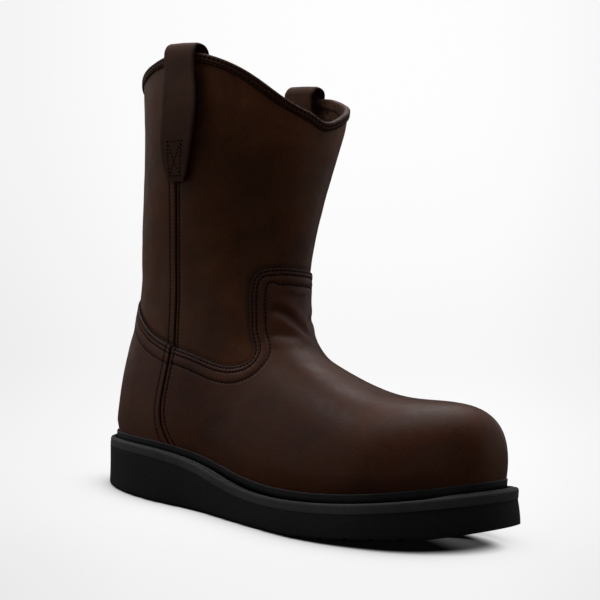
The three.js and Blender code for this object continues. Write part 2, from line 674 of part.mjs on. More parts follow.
// ------------------------------------------------------------ piping and binding
// bead standing in a seam, between the offsets low and high
function piping(seam, side, { fromZ, toZ, steps, low, high }) {
  return sweep(seamLine(seam, fromZ, toZ, steps, 0).map(([x, z]) => {
    const { point, normal } = surfaceAt(...atXZ(x, z, side));
    normal.normalize();
    const across = moved(new THREE.Vector3(1, 0, 0), [normal, -normal.x]).normalize();
    return [[-0.5, low], [0.5, low], [0.5, high - 0.3], [0, high], [-0.5, high - 0.3]]
      .map(([aside, offset]) => moved(point, [across, aside], [normal, offset]));
  }));
}
for (const [name, side] of SIDES) {
  add(`side_seam_piping_${name}`, piping(sideSeam, side, {
    fromZ: 104.2, toZ: 280, steps: 14, low: SHAFT_LAYER.in + 0.3, high: SHAFT_LAYER.out + 0.9,
  }), LEATHER);
  add(`lower_seam_piping_${name}`, piping(lowSeam, side, {
    fromZ: 40, toZ: 100, steps: 12, low: VAMP_LAYER.in + 0.3, high: VAMP_LAYER.out + 0.8,
  }), LEATHER);
}

// binding folded over the topline: offset from the surface, height above its edge
const BIND_OUT = 0.7;
const BIND_SECTION = [
  [BIND_OUT, -BIND_H], [BIND_OUT, 0.6], [-0.2, 1.35], [-2.8, 1.35], [-3.7, 0.6],
  [-3.7, -BIND_H], [-2.8, -BIND_H], [-2.8, 0.5], [-0.2, 0.5], [-0.2, -BIND_H],
];
const alongTopline = make => grid[TOP_ROW].map((point, i) => {
  const up = point.clone().sub(grid[TOP_ROW - 1][i]).normalize();
  const normal = normals[TOP_ROW][i];
  return make((offset, rise) => moved(point, [normal, offset], [up, rise]), normal);
});

// thread of triangular section laid on a path of { point, normal }
function thread(path, { width, height, lift }, closed = false) {
  const count = path.length;
  return sweep(path.map(({ point, normal }, i) => {
    const before = path[closed ? (i + count - 1) % count : Math.max(0, i - 1)].point;
    const after = path[closed ? (i + 1) % count : Math.min(count - 1, i + 1)].point;
    const along = after.clone().sub(before).normalize();
    const up = normal.clone().normalize();
    const across = up.clone().cross(along).normalize();
    return [
      moved(point, [up, lift], [across, -width / 2]),
      moved(point, [up, lift], [across, width / 2]),
      moved(point, [up, lift + height]),
    ];
  }), closed);
}

add('topline_binding', sweep(
  alongTopline(place => BIND_SECTION.map(spot => place(...spot))), true), LEATHER_SHAFT);
add('binding_stitch', thread(
  alongTopline((place, normal) => ({ point: place(BIND_OUT, -BIND_H + 1.9), normal })),
  BINDING_THREAD, true), THREAD);

// ------------------------------------------------------------ topstitching
// thread over the surface along [phi, v] pairs, at a layer's outer face
function layThread(line, offset, step = 6) {
  const lengths = runningLength(line.map(spot => surfaceAt(...spot).point));
  const count = Math.max(2, Math.round(lengths.at(-1) / step));
  return thread(evenly(line, lengths, count).map(spot => {
    const { point, normal } = surfaceAt(...spot);
    return { point: moved(point, [normal, offset]), normal };
  }), PANEL_THREAD);
}

const evenOutline = line => evenly(
  line, runningLength(line.map(spot => new THREE.Vector2(...spot))), 60);
const edgeEven = evenOutline(VAMP_EDGE);
const innerEven = evenOutline(VAMP_INNER);

// up the outer side, across the front of the shaft, down the inner side;
// share is 0 at the vamp's edge and 1 at the innermost row
function vampRow(share) {
  const line = edgeEven.map((spot, i) => spot.map(
    (value, c) => value + (innerEven[i][c] - value) * share));
  const topZ = line.at(-1)[1];
  // the flat end of the row is laid by angle instead
  const sideLine = line.filter(([x, z]) => z <= 120 || x <= 142.6 + 1.6 * share);
  const sideZ = sideLine.at(-1)[1];
  const outer = sideLine.filter(([x]) => x > 79).map(([x, z]) => atXZ(x, z, 1));
  const lastPhi = outer.at(-1)[0];
  const across = series(5, i => {
    const swing = 1 - (i + 1) / 3;
    const phi = lastPhi * swing;
    return [phi, vAtZ(phi, topZ + (sideZ - topZ) * Math.abs(swing))];
  });
  return [...outer, ...across, ...outer.map(([phi, v]) => [-phi, v]).reverse()];
}
for (const [name, share] of [['outer', 0.22], ['middle', 0.52], ['inner', 1]]) {
  add(`vamp_stitch_${name}`, layThread(vampRow(share), VAMP_LAYER.out), THREAD);
}

// round the back, seam to seam, a distance below the counter's edge
const counterEdge = new Spline(COUNTER_EDGE);
const COUNTER_ROW = { from: 0.53, to: 1.47, steps: 26 };   // ends as shares of half a turn
function counterRow(distance) {
  const { from, to, steps } = COUNTER_ROW;
  return series(steps + 1, k => {
    const phi = Math.PI * (from + (to - from) * k / steps);
    return [phi, bisect(0.2, 0.72, 22, v => {
      const { point } = surfaceAt(phi, v);
      return point.z < counterEdge.at(point.x) - distance * 1.1;
    })];
  }).filter(spot => {
    const { point } = surfaceAt(...spot);
    return point.x < lowSeam.at(point.z) - SEAM_HALF - 1.6;
  });
}
for (const [name, distance] of [['upper', 2.2], ['lower', 9.6]]) {
  add(`counter_stitch_${name}`, layThread(counterRow(distance), VAMP_LAYER.out), THREAD);
}

// rows beside the seams; shift is along x, step is the thread's spacing
const onShaft = { seam: sideSeam, toZ: 207, count: 9, layer: SHAFT_LAYER, step: 9 };
const onFoot = { seam: lowSeam, count: 6, layer: VAMP_LAYER, step: 6 };
const SEAM_ROWS = [
  { name: 'side_stitch_rear', shift: -6.6, fromZ: 111, ...onShaft },
  { name: 'side_stitch_front', shift: 3.2, fromZ: 106.5, ...onShaft },
  { name: 'lower_stitch_rear', shift: -6.6, fromZ: 42.5, toZ: 90.5, ...onFoot },
  { name: 'lower_stitch_front', shift: 4.0, fromZ: 40, toZ: 88.5, ...onFoot },
];
for (const [sideName, side] of SIDES) {
  for (const { name, seam, shift, fromZ, toZ, count, layer, step } of SEAM_ROWS) {
    const line = seamLine(seam, fromZ, toZ, count, shift).map(([x, z]) => atXZ(x, z, side));
    add(`${name}_${sideName}`, layThread(line, layer.out, step), THREAD);
  }
}

// ------------------------------------------------------------ pull straps
// direction square to a stretch of the strap's path, away from the loop's inside
function strapOutward(from, to) {
  const rise = to[0] - from[0];
  const out = to[1] - from[1];
  const length = Math.hypot(rise, out);
  return { y: rise / length, z: -out / length };
}

function pullStrap(side) {
  const lean = side < 0 ? MEDIAL_LEAN : { x: 0, z: 0 };
  const thick = STRAP_T / 2;
  const { across, deep } = STRAP_CHAMFER;
  return sweep(STRAP_PATH.map(([z, y], k) => {
    const outward = strapOutward(
      STRAP_PATH[Math.max(0, k - 1)], STRAP_PATH[Math.min(STRAP_PATH.length - 1, k + 1)]);
    const fall = -STRAP_SLOPE * smooth((z - 262) / 30);
    const middleX = lerp(STRAP_X, z) + lean.x * smooth((z - 236) / 40);
    const middleZ = z + lean.z * smooth((z - 258) / 35);
    const half = lerp(STRAP_HALF, z) - (k > STRAP_TURN_END ? STRAP_INNER_TRIM : 0);
    return [
      [-half, -thick + deep], [-half, thick - deep],
      [-half + across, thick], [half - across, thick],
      [half, thick - deep], [half, -thick + deep],
      [half - across, -thick], [-half + across, -thick],
    ].map(([aside, offset]) => new THREE.Vector3(
      middleX + aside,
      -side * (y + outward.y * offset),
      middleZ + fall * aside + outward.z * offset));
  }));
}

// closed box of thread on the strap's outer face
function tackStitch(side) {
  const path = TACK_BOX.flatMap((corner, c) => series(3, k => {
    const next = TACK_BOX[(c + 1) % 4];
    const [aside, z] = corner.map((value, axis) => value + (next[axis] - value) * k / 3);
    const i = STRAP_PATH.findIndex(([pathZ]) => pathZ >= z);
    const outward = strapOutward(STRAP_PATH[i - 1], STRAP_PATH[i]);
    return {
      point: new THREE.Vector3(
        lerp(STRAP_X, z) + aside,
        -side * (lerp(STRAP_PATH, z) + outward.y * STRAP_T / 2),
        z + outward.z * STRAP_T / 2),
      normal: new THREE.Vector3(0, -side * outward.y, outward.z),
    };
  }));
  return thread(path, TACK_THREAD, true);
}
for (const [name, side] of SIDES) {
  add(`pull_strap_${name}`, pullStrap(side), STRAP);
  add(`strap_tack_stitch_${name}`, tackStitch(side), THREAD);
}

// ------------------------------------------------------------ removable footbed
// edge inside the feather line, drawn further in at the toe and the heel
const bedEdge = grow => x => grow
  - (6.0 + 3.5 * smooth((x - 255) / 40) + 1.5 * smooth((40 - x) / 40));
add('footbed', rimPlate([[bedEdge(0), -2.0], [bedEdge(0.4), 3.0]]), FOAM);
add('footbed_cover', rimPlate([[bedEdge(0.2), 3.35], [bedEdge(-0.1), 4.3]]), TEXTILE);

// origin: middle of the footprint box, on the ground
const box = new THREE.Box3().setFromObject(boot);
boot.position.set(-(box.min.x + box.max.x) / 2, -(box.min.y + box.max.y) / 2, -box.min.z);
export default boot;
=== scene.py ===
"""A leather pull-on safety boot with its sole, lining, footbed and hidden layers.

Shapes are worked out in millimetres: x runs from heel to toe, y is positive on the medial
side and z is up from the floor. Meshes are then moved back by SHIFT along x, in metres.
"""
import math

import bmesh
import bpy
import numpy as np
from mathutils import Matrix, Vector


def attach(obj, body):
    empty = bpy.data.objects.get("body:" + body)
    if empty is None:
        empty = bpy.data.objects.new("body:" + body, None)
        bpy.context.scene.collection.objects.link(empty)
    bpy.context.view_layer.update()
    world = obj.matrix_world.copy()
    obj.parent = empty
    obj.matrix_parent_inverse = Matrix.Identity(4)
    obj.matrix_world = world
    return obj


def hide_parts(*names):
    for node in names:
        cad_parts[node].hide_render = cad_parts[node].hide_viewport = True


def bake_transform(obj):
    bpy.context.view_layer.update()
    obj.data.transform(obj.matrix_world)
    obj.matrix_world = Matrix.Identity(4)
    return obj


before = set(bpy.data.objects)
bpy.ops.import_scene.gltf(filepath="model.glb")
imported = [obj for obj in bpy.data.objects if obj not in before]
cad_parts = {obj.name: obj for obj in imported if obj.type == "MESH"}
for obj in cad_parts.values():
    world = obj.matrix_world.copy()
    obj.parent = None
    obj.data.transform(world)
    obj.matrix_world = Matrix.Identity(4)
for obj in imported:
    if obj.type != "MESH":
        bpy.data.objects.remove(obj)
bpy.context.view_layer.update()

# ---------------------------------------------------------------- driving dimensions, mm
SHIFT = 149.3969
# foot: stations along x, with feather line height, centre y and half width
FOOT_X = [0, 50, 100, 150, 200, 250, 300]
FEATHER_Z = [37.4, 38.8, 35.4, 26.4, 26.0, 33.4, 45.4]
FOOT_CENTRE = [0, 0, -1, -2.7, -1.9, 1.7, 5.6]
FOOT_HALF = [30.6, 32.5, 35.9, 40.4, 44.7, 47.1, 46.4]
# ridge along the top of the foot
RIDGE_X = [0, 60, 110, 150, 190, 230, 270, 310]
RIDGE_Z = [97.0, 125.6, 128.2, 110.7, 93.1, 83.6, 89.0, 102.7]
HEEL_X, HEEL_ROUND = 5.1, 50.7
TOE_X, TOE_ROUND = 297.7, 72.5
PLAN_EXP, SECTION_EXP = 2.17, 2.83  # roundness of the foot in plan and in cross-section
JOIN = 34.6  # reach of the blend between foot and shaft
# shaft: stations along z, with centre x and the half axes along x and y
SHAFT_Z = [60, 100, 140, 180, 220, 260, 300]
SHAFT_CENTRE = [61.5, 68.7, 74.5, 78.2, 82.6, 86.9, 85.5]
SHAFT_LONG = [55, 61.0, 67.7, 70.5, 70.2, 73.2, 78.3]
SHAFT_WIDE = [38.1, 37.3, 41.3, 49.0, 59.1, 67.6, 67.2]
# topline height every 15 degrees, from the front round by the lateral side
TOPLINE_Z = [255.8, 258.6, 261.9, 268.5, 279.5, 289.2, 292.2, 289.4, 285.6, 282.6, 279.3, 276.9,
             276.0, 276.9, 279.3, 282.6, 285.6, 289.4, 292.2, 289.0, 280.5, 273.1, 265.7, 259.1]
# sole: width of the ledge, flare of the outsole wall and toe spring, along x
LEDGE_X, LEDGE_OUT = [0, 130, 258, 290, 302], [4.5, 9.8, 9.8, 8.5, 8.4]
FLARE_X = [0, 30, 80, 130, 250, 290, 302]
FLARE_OUT = [-1.8, -0.6, 2.2, 1.2, 1.2, 2.2, 2.3]
SPRING_X = [180, 200, 220, 240, 260, 275, 290, 310]
SPRING_Z = [0, .5, 2.8, 6.1, 9.2, 11.9, 15.6, 21.2]
HEM = 4.2  # how far the upper runs down below the feather line
# grid levels from feather line (0) to topline (1): how far the level leaves the feather line,
# its height above that line, its own height at x = 0, and its slope along x
LEVEL = [0, .05, .10, .15, .20, .25, .30, .35, .40, .45, .50, .55, .60, .65, .72, .80, .90, 1]
LEVEL_SHARE = [0, 0, .15, .5, .8, .95] + [1] * 12
LEVEL_ABOVE = [0, 8, 17, 26, 33, 40] + [45] * 12
LEVEL_Z = [46, 52, 58, 63, 67.5, 72, 77, 84, 92, 101, 111, 122, 135, 150, 172, 202, 243, 288]
LEVEL_SLOPE = [0, 0, .02, .038, .045, .045, .042, .03, .016, 0, .01, .05, .10, .15, .18, .13,
               .05, 0]
# seams and edges seen from the side: (z, x) for the first two, (x, z) for the others
SIDE_SEAM = [(70, 77.8), (104, 76.9), (114, 76.3), (134, 76.1), (161, 76.5), (187, 79.4),
             (210, 82.8), (245, 88.0), (290, 90.0), (310, 90.0)]
LOW_SEAM = [(10, 101), (30, 86.5), (38.5, 80.2), (46.5, 74.8), (56.2, 71.2), (66.3, 70.6),
            (76.6, 71.8), (86.8, 73.4), (99, 75.2), (110, 76.8)]
VAMP_EDGE = [(58, 107.6), (77.6, 102.4), (92.4, 99.7), (101.3, 97.6), (112.6, 94.9), (125, 93.7),
             (133.9, 95.3), (139.4, 98.6), (140.9, 103), (139.6, 108), (137.0, 112.5),
             (133.4, 124.5), (131.4, 137.4), (131.4, 147), (132.8, 152.6), (136.2, 156.8),
             (141, 158.7), (144.2, 159.5), (152, 159.8), (175, 159.9)]
COUNTER_EDGE = [(-20, 154), (0, 142), (7.3, 137.6), (18.3, 130.6), (34.3, 120.3), (49, 111.9),
                (61.9, 106.8), (70.8, 104.2), (77.2, 102.5)]
# pull strap: (z, distance from the middle plane) up the outside and down the inside
STRAP_PATH = [(211.5, 58.5), (216, 59.7), (223, 61.6), (232, 64.2), (245, 67.5), (256, 69.5),
              (268, 70.5), (282, 70.5), (290.8, 70.4), (295.6, 69.4), (298.6, 67.0),
              (299.5, 63.4), (298.9, 59.8), (296.2, 57.2), (291.4, 56.2), (284, 56.3),
              (266, 57.6), (250, 57.2), (240, 55.8), (230, 54.0), (220, 52.4), (212, 51.3)]
# (z, half width) and (z, centre x) of the strap
STRAP_HALF = [(209.5, 7.6), (213.3, 8.7), (218.2, 11.0), (224.3, 13.1), (230.5, 14.3),
              (236.7, 15.0), (242.7, 15.5), (249, 15.7), (256, 15.7), (261, 15.5),
              (267.5, 15.1), (274, 14.6), (280.5, 14.2), (287, 14.0), (300, 13.6)]
STRAP_X = [(205, 84.4), (213, 85.4), (219, 85.8), (225, 86.6), (231, 88.0), (237.6, 89.6),
           (243.7, 91.4), (250, 93.0), (256, 94.2), (262, 94.4), (269, 94.1), (275.5, 93.3),
           (282, 92.6), (288.7, 91.8), (293, 91.2), (300, 90.6)]
STRAP_SLOPE = .085         # fall of the strap's top towards the toe
MEDIAL_LEAN = (-3.0, 1.6)  # shift of the medial strap's top along x and z
STRAP_THICK = 1.05         # half its thickness
STRAP_CROWN = .42          # extra bulge of its outer face
# outer faces of the leather, measured from the lofted surface
VAMP_FACE, SHAFT_FACE = 1.3, -0.4
# stitch rows, measured from the edge or seam they follow
VAMP_ROWS = (1.5, 4.3, 10.8)
COUNTER_ROWS = (2.4, 5.2, 12.4)
SIDE_FRONT_ROW, SIDE_REAR_ROW = 2.7, 6.6
LOW_FRONT_ROW, LOW_REAR_ROW = 3.6, 5.5
# gaps between seam line and panel, in front of it and behind it
FRONT_GAP, REAR_GAP = .35, .8


# ---------------------------------------------------------------- numeric helpers
class Spline:
    """Natural cubic spline that runs on straight past its ends."""

    def __init__(self, x, y):
        x, y = np.array(x, float), np.array(y, float)
        count, gap = len(x), np.diff(x)
        system, right = np.eye(count), np.zeros(count)
        for i in range(1, count - 1):
            system[i, i - 1:i + 2] = gap[i - 1], 2 * (gap[i - 1] + gap[i]), gap[i]
            right[i] = 6 * ((y[i + 1] - y[i]) / gap[i] - (y[i] - y[i - 1]) / gap[i - 1])
        bend = np.linalg.solve(system, right)
        self.x, self.y, self.gap, self.bend = x, y, gap, bend
        self.first = (y[1] - y[0]) / gap[0] - gap[0] * (2 * bend[0] + bend[1]) / 6
        self.last = (y[-1] - y[-2]) / gap[-1] + gap[-1] * (bend[-2] + 2 * bend[-1]) / 6

    def __call__(self, at):
        at = np.asarray(at, float)
        x, y, bend = self.x, self.y, self.bend
        i = np.clip(np.searchsorted(x, at) - 1, 0, len(self.gap) - 1)
        gap = self.gap[i]
        left = (x[i + 1] - at) / gap
        right = 1 - left
        value = left * y[i] + right * y[i + 1] + (
            (left ** 3 - left) * bend[i] + (right ** 3 - right) * bend[i + 1]) * gap * gap / 6
        value = np.where(at < x[0], y[0] + self.first * (at - x[0]), value)
        return np.where(at > x[-1], y[-1] + self.last * (at - x[-1]), value)

    def slope(self, at):
        return (self(at + .05) - self(at - .05)) / .1


def lookup(table, at):
    return np.interp(at, *zip(*table))


def ease(share):
    """Smooth step from 0 to 1."""
    share = np.clip(share, 0, 1)
    return share * share * (3 - 2 * share)


def humps(distance, *rows):
    """Sum of bell curves, each given as (centre, width, height)."""
    return sum(high * np.exp(-((distance - at) / wide) ** 2) for at, wide, high in rows)


def unit(vectors):
    return vectors / np.maximum(np.linalg.norm(vectors, axis=-1, keepdims=True), 1e-12)


def square_to(vectors, normals):
    """Unit vectors with their part along the normals taken out."""
    return unit(vectors - (vectors * normals).sum(1, keepdims=True) * normals)


def closed(points):
    return np.concatenate([points, points[:1]])


def arc_length(points):
    return np.r_[0, np.cumsum(np.linalg.norm(np.diff(points, axis=0), axis=1))]


def interp_rows(at, length, rows):
    return np.stack([np.interp(at, length, rows[:, k]) for k in range(rows.shape[1])], 1)


def curve_through(points, count):
    points = np.array(points, float)
    length = arc_length(points)
    at = np.linspace(0, length[-1], count)
    return np.stack([Spline(length, points[:, k])(at) for k in range(points.shape[1])], 1)


class Waves:
    """Smooth repeatable noise made of sines."""

    def __init__(self, size, count, seed):
        rng = np.random.default_rng(seed)
        way = rng.normal(size=(count, 3))
        way /= np.linalg.norm(way, axis=1)[:, None]
        self.wave = way * (2 * math.pi / (size * rng.uniform(.6, 1.7, count)))[:, None]
        self.phase = rng.uniform(0, 6.28, count)

    def __call__(self, points):
        total = np.sin(points @ self.wave.T + self.phase).sum(1)
        return total / math.sqrt(len(self.phase) / 2)


def wall(rows, around, flip=False, wrap=False, start=0):
    """Quads between rings of points that follow one another."""
    faces = []
    for row in range(rows if wrap else rows - 1):
        low, high = start + row * around, start + (row + 1) % rows * around
        for a in range(around):
            b = (a + 1) % around
            face = (low + a, high + a, high + b, low + b)
            faces.append((face[0], *face[:0:-1]) if flip else face)
    return faces


def tube_faces(rows, around, flip=False):
    """A wall closed by a cap at both ends."""
    caps = [tuple(range(around)), tuple(range((rows - 1) * around, rows * around))[::-1]]
    return wall(rows, around, flip) + [cap[::-1] if flip else cap for cap in caps]


# ---------------------------------------------------------------- the lofted surface
feather_z, foot_centre = Spline(FOOT_X, FEATHER_Z), Spline(FOOT_X, FOOT_CENTRE)
foot_half, ridge_z = Spline(FOOT_X, FOOT_HALF), Spline(RIDGE_X, RIDGE_Z)
shaft_centre = Spline(SHAFT_Z, SHAFT_CENTRE)
shaft_long, shaft_wide = Spline(SHAFT_Z, SHAFT_LONG), Spline(SHAFT_Z, SHAFT_WIDE)
# the table is carried on past both ends, so that the spline closes smoothly
topline_z = Spline([math.radians(15 * i) for i in range(-3, 28)],
                   [TOPLINE_Z[i % 24] for i in range(-3, 28)])
level_z, level_slope = Spline(LEVEL, LEVEL_Z), Spline(LEVEL, LEVEL_SLOPE)


def field(points):
    """About the distance outside the boot: a foot blended with a shaft."""
    x, y, z = points[..., 0], points[..., 1], points[..., 2]
    feather = feather_z(x)
    rise = (z - feather) / (ridge_z(x) - feather)
    tuck = 1 - .05 * np.clip(1 - rise / .22, 0, 1) ** 2
    across = np.abs(y - foot_centre(x)) / (foot_half(x) * tuck)
    along = (np.maximum(0, (x - (TOE_X - TOE_ROUND)) / TOE_ROUND)
             + np.maximum(0, ((HEEL_X + HEEL_ROUND) - x) / HEEL_ROUND))
    plan = (across ** PLAN_EXP + along ** PLAN_EXP) ** (1 / PLAN_EXP)
    radius = (plan ** SECTION_EXP + np.maximum(0, rise) ** SECTION_EXP) ** (1 / SECTION_EXP)
    foot = (radius - 1) * 42
    long, wide = shaft_long(z), shaft_wide(z)
    shaft = (np.hypot((x - shaft_centre(z)) / long, y / wide) - 1) * .5 * (long + wide)
    blend = np.clip(.5 + .5 * (shaft - foot) / JOIN, 0, 1)
    return shaft * (1 - blend) + foot * blend - JOIN * blend * (1 - blend)


def gradient(points, step=.5):
    result = np.zeros_like(points)
    for k in range(3):
        move = np.zeros(3)
        move[k] = step
        result[..., k] = (field(points + move) - field(points - move)) / (2 * step)
    return result


def settle(points):
    """One Newton step towards the surface."""
    slope = gradient(points)
    return points - slope * (field(points) / (slope * slope).sum(-1))[..., None]


def level_height(level, angle, x):
    """Height of a grid level: the feather line at the bottom, the topline at the top."""
    share, above = np.interp(level, LEVEL, LEVEL_SHARE), np.interp(level, LEVEL, LEVEL_ABOVE)
    topward = ease((level - .66) / .34)
    return ((1 - share) * (feather_z(x) + above)
            + share * (level_z(level) + level_slope(level) * x)
            + topward * (topline_z(np.mod(angle, 2 * math.pi)) - LEVEL_Z[-1]))


def coarse_grid(around, levels, passes):
    """Rings of points on the surface, evened out over a number of passes."""
    level = np.linspace(0, 1, levels)
    angle = 2 * math.pi * np.arange(around) / around
    ends = []
    for way in (1, -1):  # march along x to the toe side and the heel side of each level
        march = 70 + way * 2.0 * np.arange(0, 140)
        x, row_level = np.meshgrid(march, level)
        values = field(np.stack([x, 0 * x, level_height(row_level, math.pi / 2, x)], -1))
        hit = np.argmax(values > 0, 1)
        rows = np.arange(levels)
        before, after = values[rows, hit - 1], values[rows, hit]
        ends.append(march[hit - 1] + way * 2 * (-before) / (after - before + 1e-9))
    middle, half = ((ends[0] + ends[1]) / 2)[:, None], ((ends[0] - ends[1]) / 2)[:, None]
    level, angle = np.meshgrid(level, angle, indexing="ij")
    ray_x, ray_y = np.cos(angle) * half, -np.sin(angle) * 48

    def place(reach):
        x = middle + reach * ray_x
        return np.stack([x, reach * ray_y, level_height(level, angle, x)], -1)

    low, high = np.zeros_like(level), np.full_like(level, 1.6)
    for _ in range(30):
        reach = (low + high) / 2
        inside = field(place(reach)) < 0
        low, high = np.where(inside, reach, low), np.where(inside, high, reach)
    grid = place((low + high) / 2)
    for k in range(passes):
        even = grid[1:-1] * .4 + .15 * (np.roll(grid, 1, 1)[1:-1] + np.roll(grid, -1, 1)[1:-1]
                                        + grid[:-2] + grid[2:])
        for _ in range(3 if k == passes - 1 else 1):
            even = settle(even)
        grid[1:-1] = even
    return grid


def refine(grid, factor, axis, wrap):
    """Catmull-Rom refinement along an axis."""
    grid = np.moveaxis(grid, axis, 0)
    if wrap:
        a, b, c, d = (np.roll(grid, -k, 0) for k in (-1, 0, 1, 2))
    else:
        longer = np.concatenate([[2 * grid[0] - grid[1]], grid, [2 * grid[-1] - grid[-2]]])
        a, b, c, d = longer[:-3], longer[1:-2], longer[2:-1], longer[3:]
    steps = []
    for k in range(factor):
        t = k / factor
        steps.append(.5 * ((2 * b) + (c - a) * t + (2 * a - 5 * b + 4 * c - d) * t * t
                           + (3 * b - a - 3 * c + d) * t ** 3))
    result = np.stack(steps, 1).reshape((-1,) + grid.shape[1:])
    if not wrap:
        result = np.concatenate([result, grid[-1:]])
    return np.moveaxis(result, 0, axis)


surface = coarse_grid(around=72, levels=61, passes=60)
surface = refine(refine(surface, 4, axis=1, wrap=True), 4, axis=0, wrap=False)
for _ in range(3):
    surface[1:-1] = settle(surface)[1:-1]
normals = unit(gradient(surface))
normals[0, :, 2] = 0
normals[0] = unit(normals[0])
# two rows of hem go below the feather line
GRID = np.concatenate([[surface[0] - [0, 0, HEM], surface[0] - [0, 0, HEM * .45]], surface])
GRID_N = np.concatenate([[normals[0], normals[0]], normals])
FEATHER_ROW = 2
ROWS, AROUND = GRID.shape[:2]
QUADS = [(face[3], *face[:3]) for face in wall(ROWS, AROUND)]

# ---------------------------------------------------------------- seam coordinates
side_seam, low_seam = Spline(*zip(*SIDE_SEAM)), Spline(*zip(*LOW_SEAM))
counter_edge = Spline(*zip(*COUNTER_EDGE))
EDGE_CURVE = curve_through(VAMP_EDGE, 320)


def on_surface(distance, along_x, along_z, normals):
    """Turns a distance seen from the side into one along the surface."""
    lean = (along_x * normals[:, 0] + along_z * normals[:, 2]) ** 2
    return distance / np.sqrt(np.maximum(.12, 1 - lean))


def seam_distance(seam, points, normals):
    """Distance in front of a seam."""
    slope = seam.slope(points[:, 2])
    cos = 1 / np.sqrt(1 + slope * slope)
    return on_surface((points[:, 0] - seam(points[:, 2])) * cos, cos, -slope * cos, normals)


def counter_distance(points, normals):
    """Distance below the heel counter's top edge."""
    slope = counter_edge.slope(points[:, 0])
    cos = 1 / np.sqrt(1 + slope * slope)
    return on_surface((counter_edge(points[:, 0]) - points[:, 2]) * cos, slope * cos, -cos,
                      normals)


def vamp_distance(points, normals):
    """Distance from the vamp's top edge, positive on the vamp."""
    flat = points[:, [0, 2]]
    start = EDGE_CURVE[:-1]
    along = EDGE_CURVE[1:] - start
    best, near = np.full(len(flat), 1e9), np.zeros_like(flat)
    for k in range(0, len(flat), 6000):
        chunk = flat[k:k + 6000, None]
        share = np.clip(((chunk - start[None]) * along).sum(-1) / (along * along).sum(-1), 0, 1)
        foot = start + along * share[..., None]
        gap = np.linalg.norm(chunk - foot, axis=-1)
        pick, rows = gap.argmin(1), np.arange(len(gap))
        best[k:k + 6000], near[k:k + 6000] = gap[rows, pick], foot[rows, pick]
    outline = np.concatenate([EDGE_CURVE, [[420, 159.9], [420, -80], [58, -80]]])
    inside = np.zeros(len(flat), bool)
    for (x1, z1), (x2, z2) in zip(outline, np.roll(outline, -1, 0)):
        if z1 != z2:
            inside ^= ((z1 > flat[:, 1]) != (z2 > flat[:, 1])) & (
                flat[:, 0] < (x2 - x1) * (flat[:, 1] - z1) / (z2 - z1) + x1)
    way = (flat - near) / np.maximum(best, 1e-6)[:, None]
    return on_surface(best, way[:, 0], way[:, 1], normals) * np.where(inside, 1, -1)


# one row per grid point: position 0-2, normal 3-5, then the distances from the vamp edge,
# lower seam, side seam and counter edge
EDGE, LOW, SIDE, COUNTER = 6, 7, 8, 9
flat_grid, flat_normals = GRID.reshape(-1, 3), GRID_N.reshape(-1, 3)
SURFACE = np.concatenate([flat_grid, flat_normals, np.stack([
    vamp_distance(flat_grid, flat_normals),
    seam_distance(low_seam, flat_grid, flat_normals),
    seam_distance(side_seam, flat_grid, flat_normals),
    counter_distance(flat_grid, flat_normals)], 1)], 1)


def split(rows, faces, dist, level, snap=.09):
    """Cuts the faces along the line where the distance equals the level."""
    dist = dist.copy()
    dist[np.abs(dist - level) < snap] = level
    values = (dist - level).tolist()
    cache, new, result = {}, [], []
    for face in faces:
        side = [values[v] for v in face]
        if min(side) >= 0 or max(side) <= 0:
            result.append(face)
            continue
        above, below = [], []
        for a in range(len(face)):
            b = (a + 1) % len(face)
            v, w, here, there = face[a], face[b], side[a], side[b]
            if here >= 0:
                above.append(v)
            if here <= 0:
                below.append(v)
            if here * there < 0:
                key = (v, w) if v < w else (w, v)
                if key not in cache:
                    share = here / (here - there) if key[0] == v else there / (there - here)
                    cache[key] = len(rows) + len(new)
                    new.append((*key, share))
                above.append(cache[key])
                below.append(cache[key])
        result += [tuple(part) for part in (above, below) if len(part) > 2]
    if new:
        table = np.array(new)
        a, b, share = table[:, 0].astype(int), table[:, 1].astype(int), table[:, 2:3]
        rows = np.concatenate([rows, rows[a] * (1 - share) + rows[b] * share])
        dist = np.concatenate([dist, np.full(len(new), float(level))])
    return rows, result, dist


def cut_panel(inside, levels):
    """The surface where inside > 0, with extra edge loops at the given distances."""
    dist = inside(SURFACE)
    near = (dist > -4).tolist()
    faces = [face for face in QUADS if any(near[v] for v in face)]
    rows, faces, dist = split(SURFACE, faces, dist, 0)
    values = dist.tolist()
    faces = [face for face in faces if sum(values[v] for v in face) > 0]
    for level in levels:
        rows, faces, dist = split(rows, faces, dist, level)
    used = sorted({v for face in faces for v in face})
    index = {v: i for i, v in enumerate(used)}
    return rows[used], [tuple(index[v] for v in face) for face in faces]


# ---------------------------------------------------------------- mesh building
def to_metres(points):
    points = np.asarray(points, float) / 1000
    points[:, 0] -= SHIFT / 1000
    return points


def link(ob):
    bpy.context.scene.collection.objects.link(ob)
    return ob


def make(name, mesh, materials, slots=None, tone=None, sharp=48):
    """Smooth-shaded object; slots are material indices, tone darkens or lightens leather: its
    own uneven tone, and painted shade and painted light.
    """
    verts, faces = mesh
    data = bpy.data.meshes.new(name)
    data.from_pydata([tuple(v) for v in to_metres(verts)], [],
                     [tuple(int(i) for i in face) for face in faces])
    for material in materials:
        data.materials.append(material)
    if slots is not None:
        data.polygons.foreach_set("material_index", np.array(slots, np.int32))
    data.polygons.foreach_set("use_smooth", np.full(len(data.polygons), True))
    if tone is not None:
        attribute = data.attributes.new("tone", "FLOAT", "POINT")
        attribute.data.foreach_set("value", np.asarray(tone, np.float32))
    data.update()
    if sharp:
        data.set_sharp_from_angle(angle=math.radians(sharp))
    return link(bpy.data.objects.new(name, data))


def register(ob, slot, *nodes, body="boot"):
    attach(ob, body)
    if nodes:
        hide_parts(*nodes)


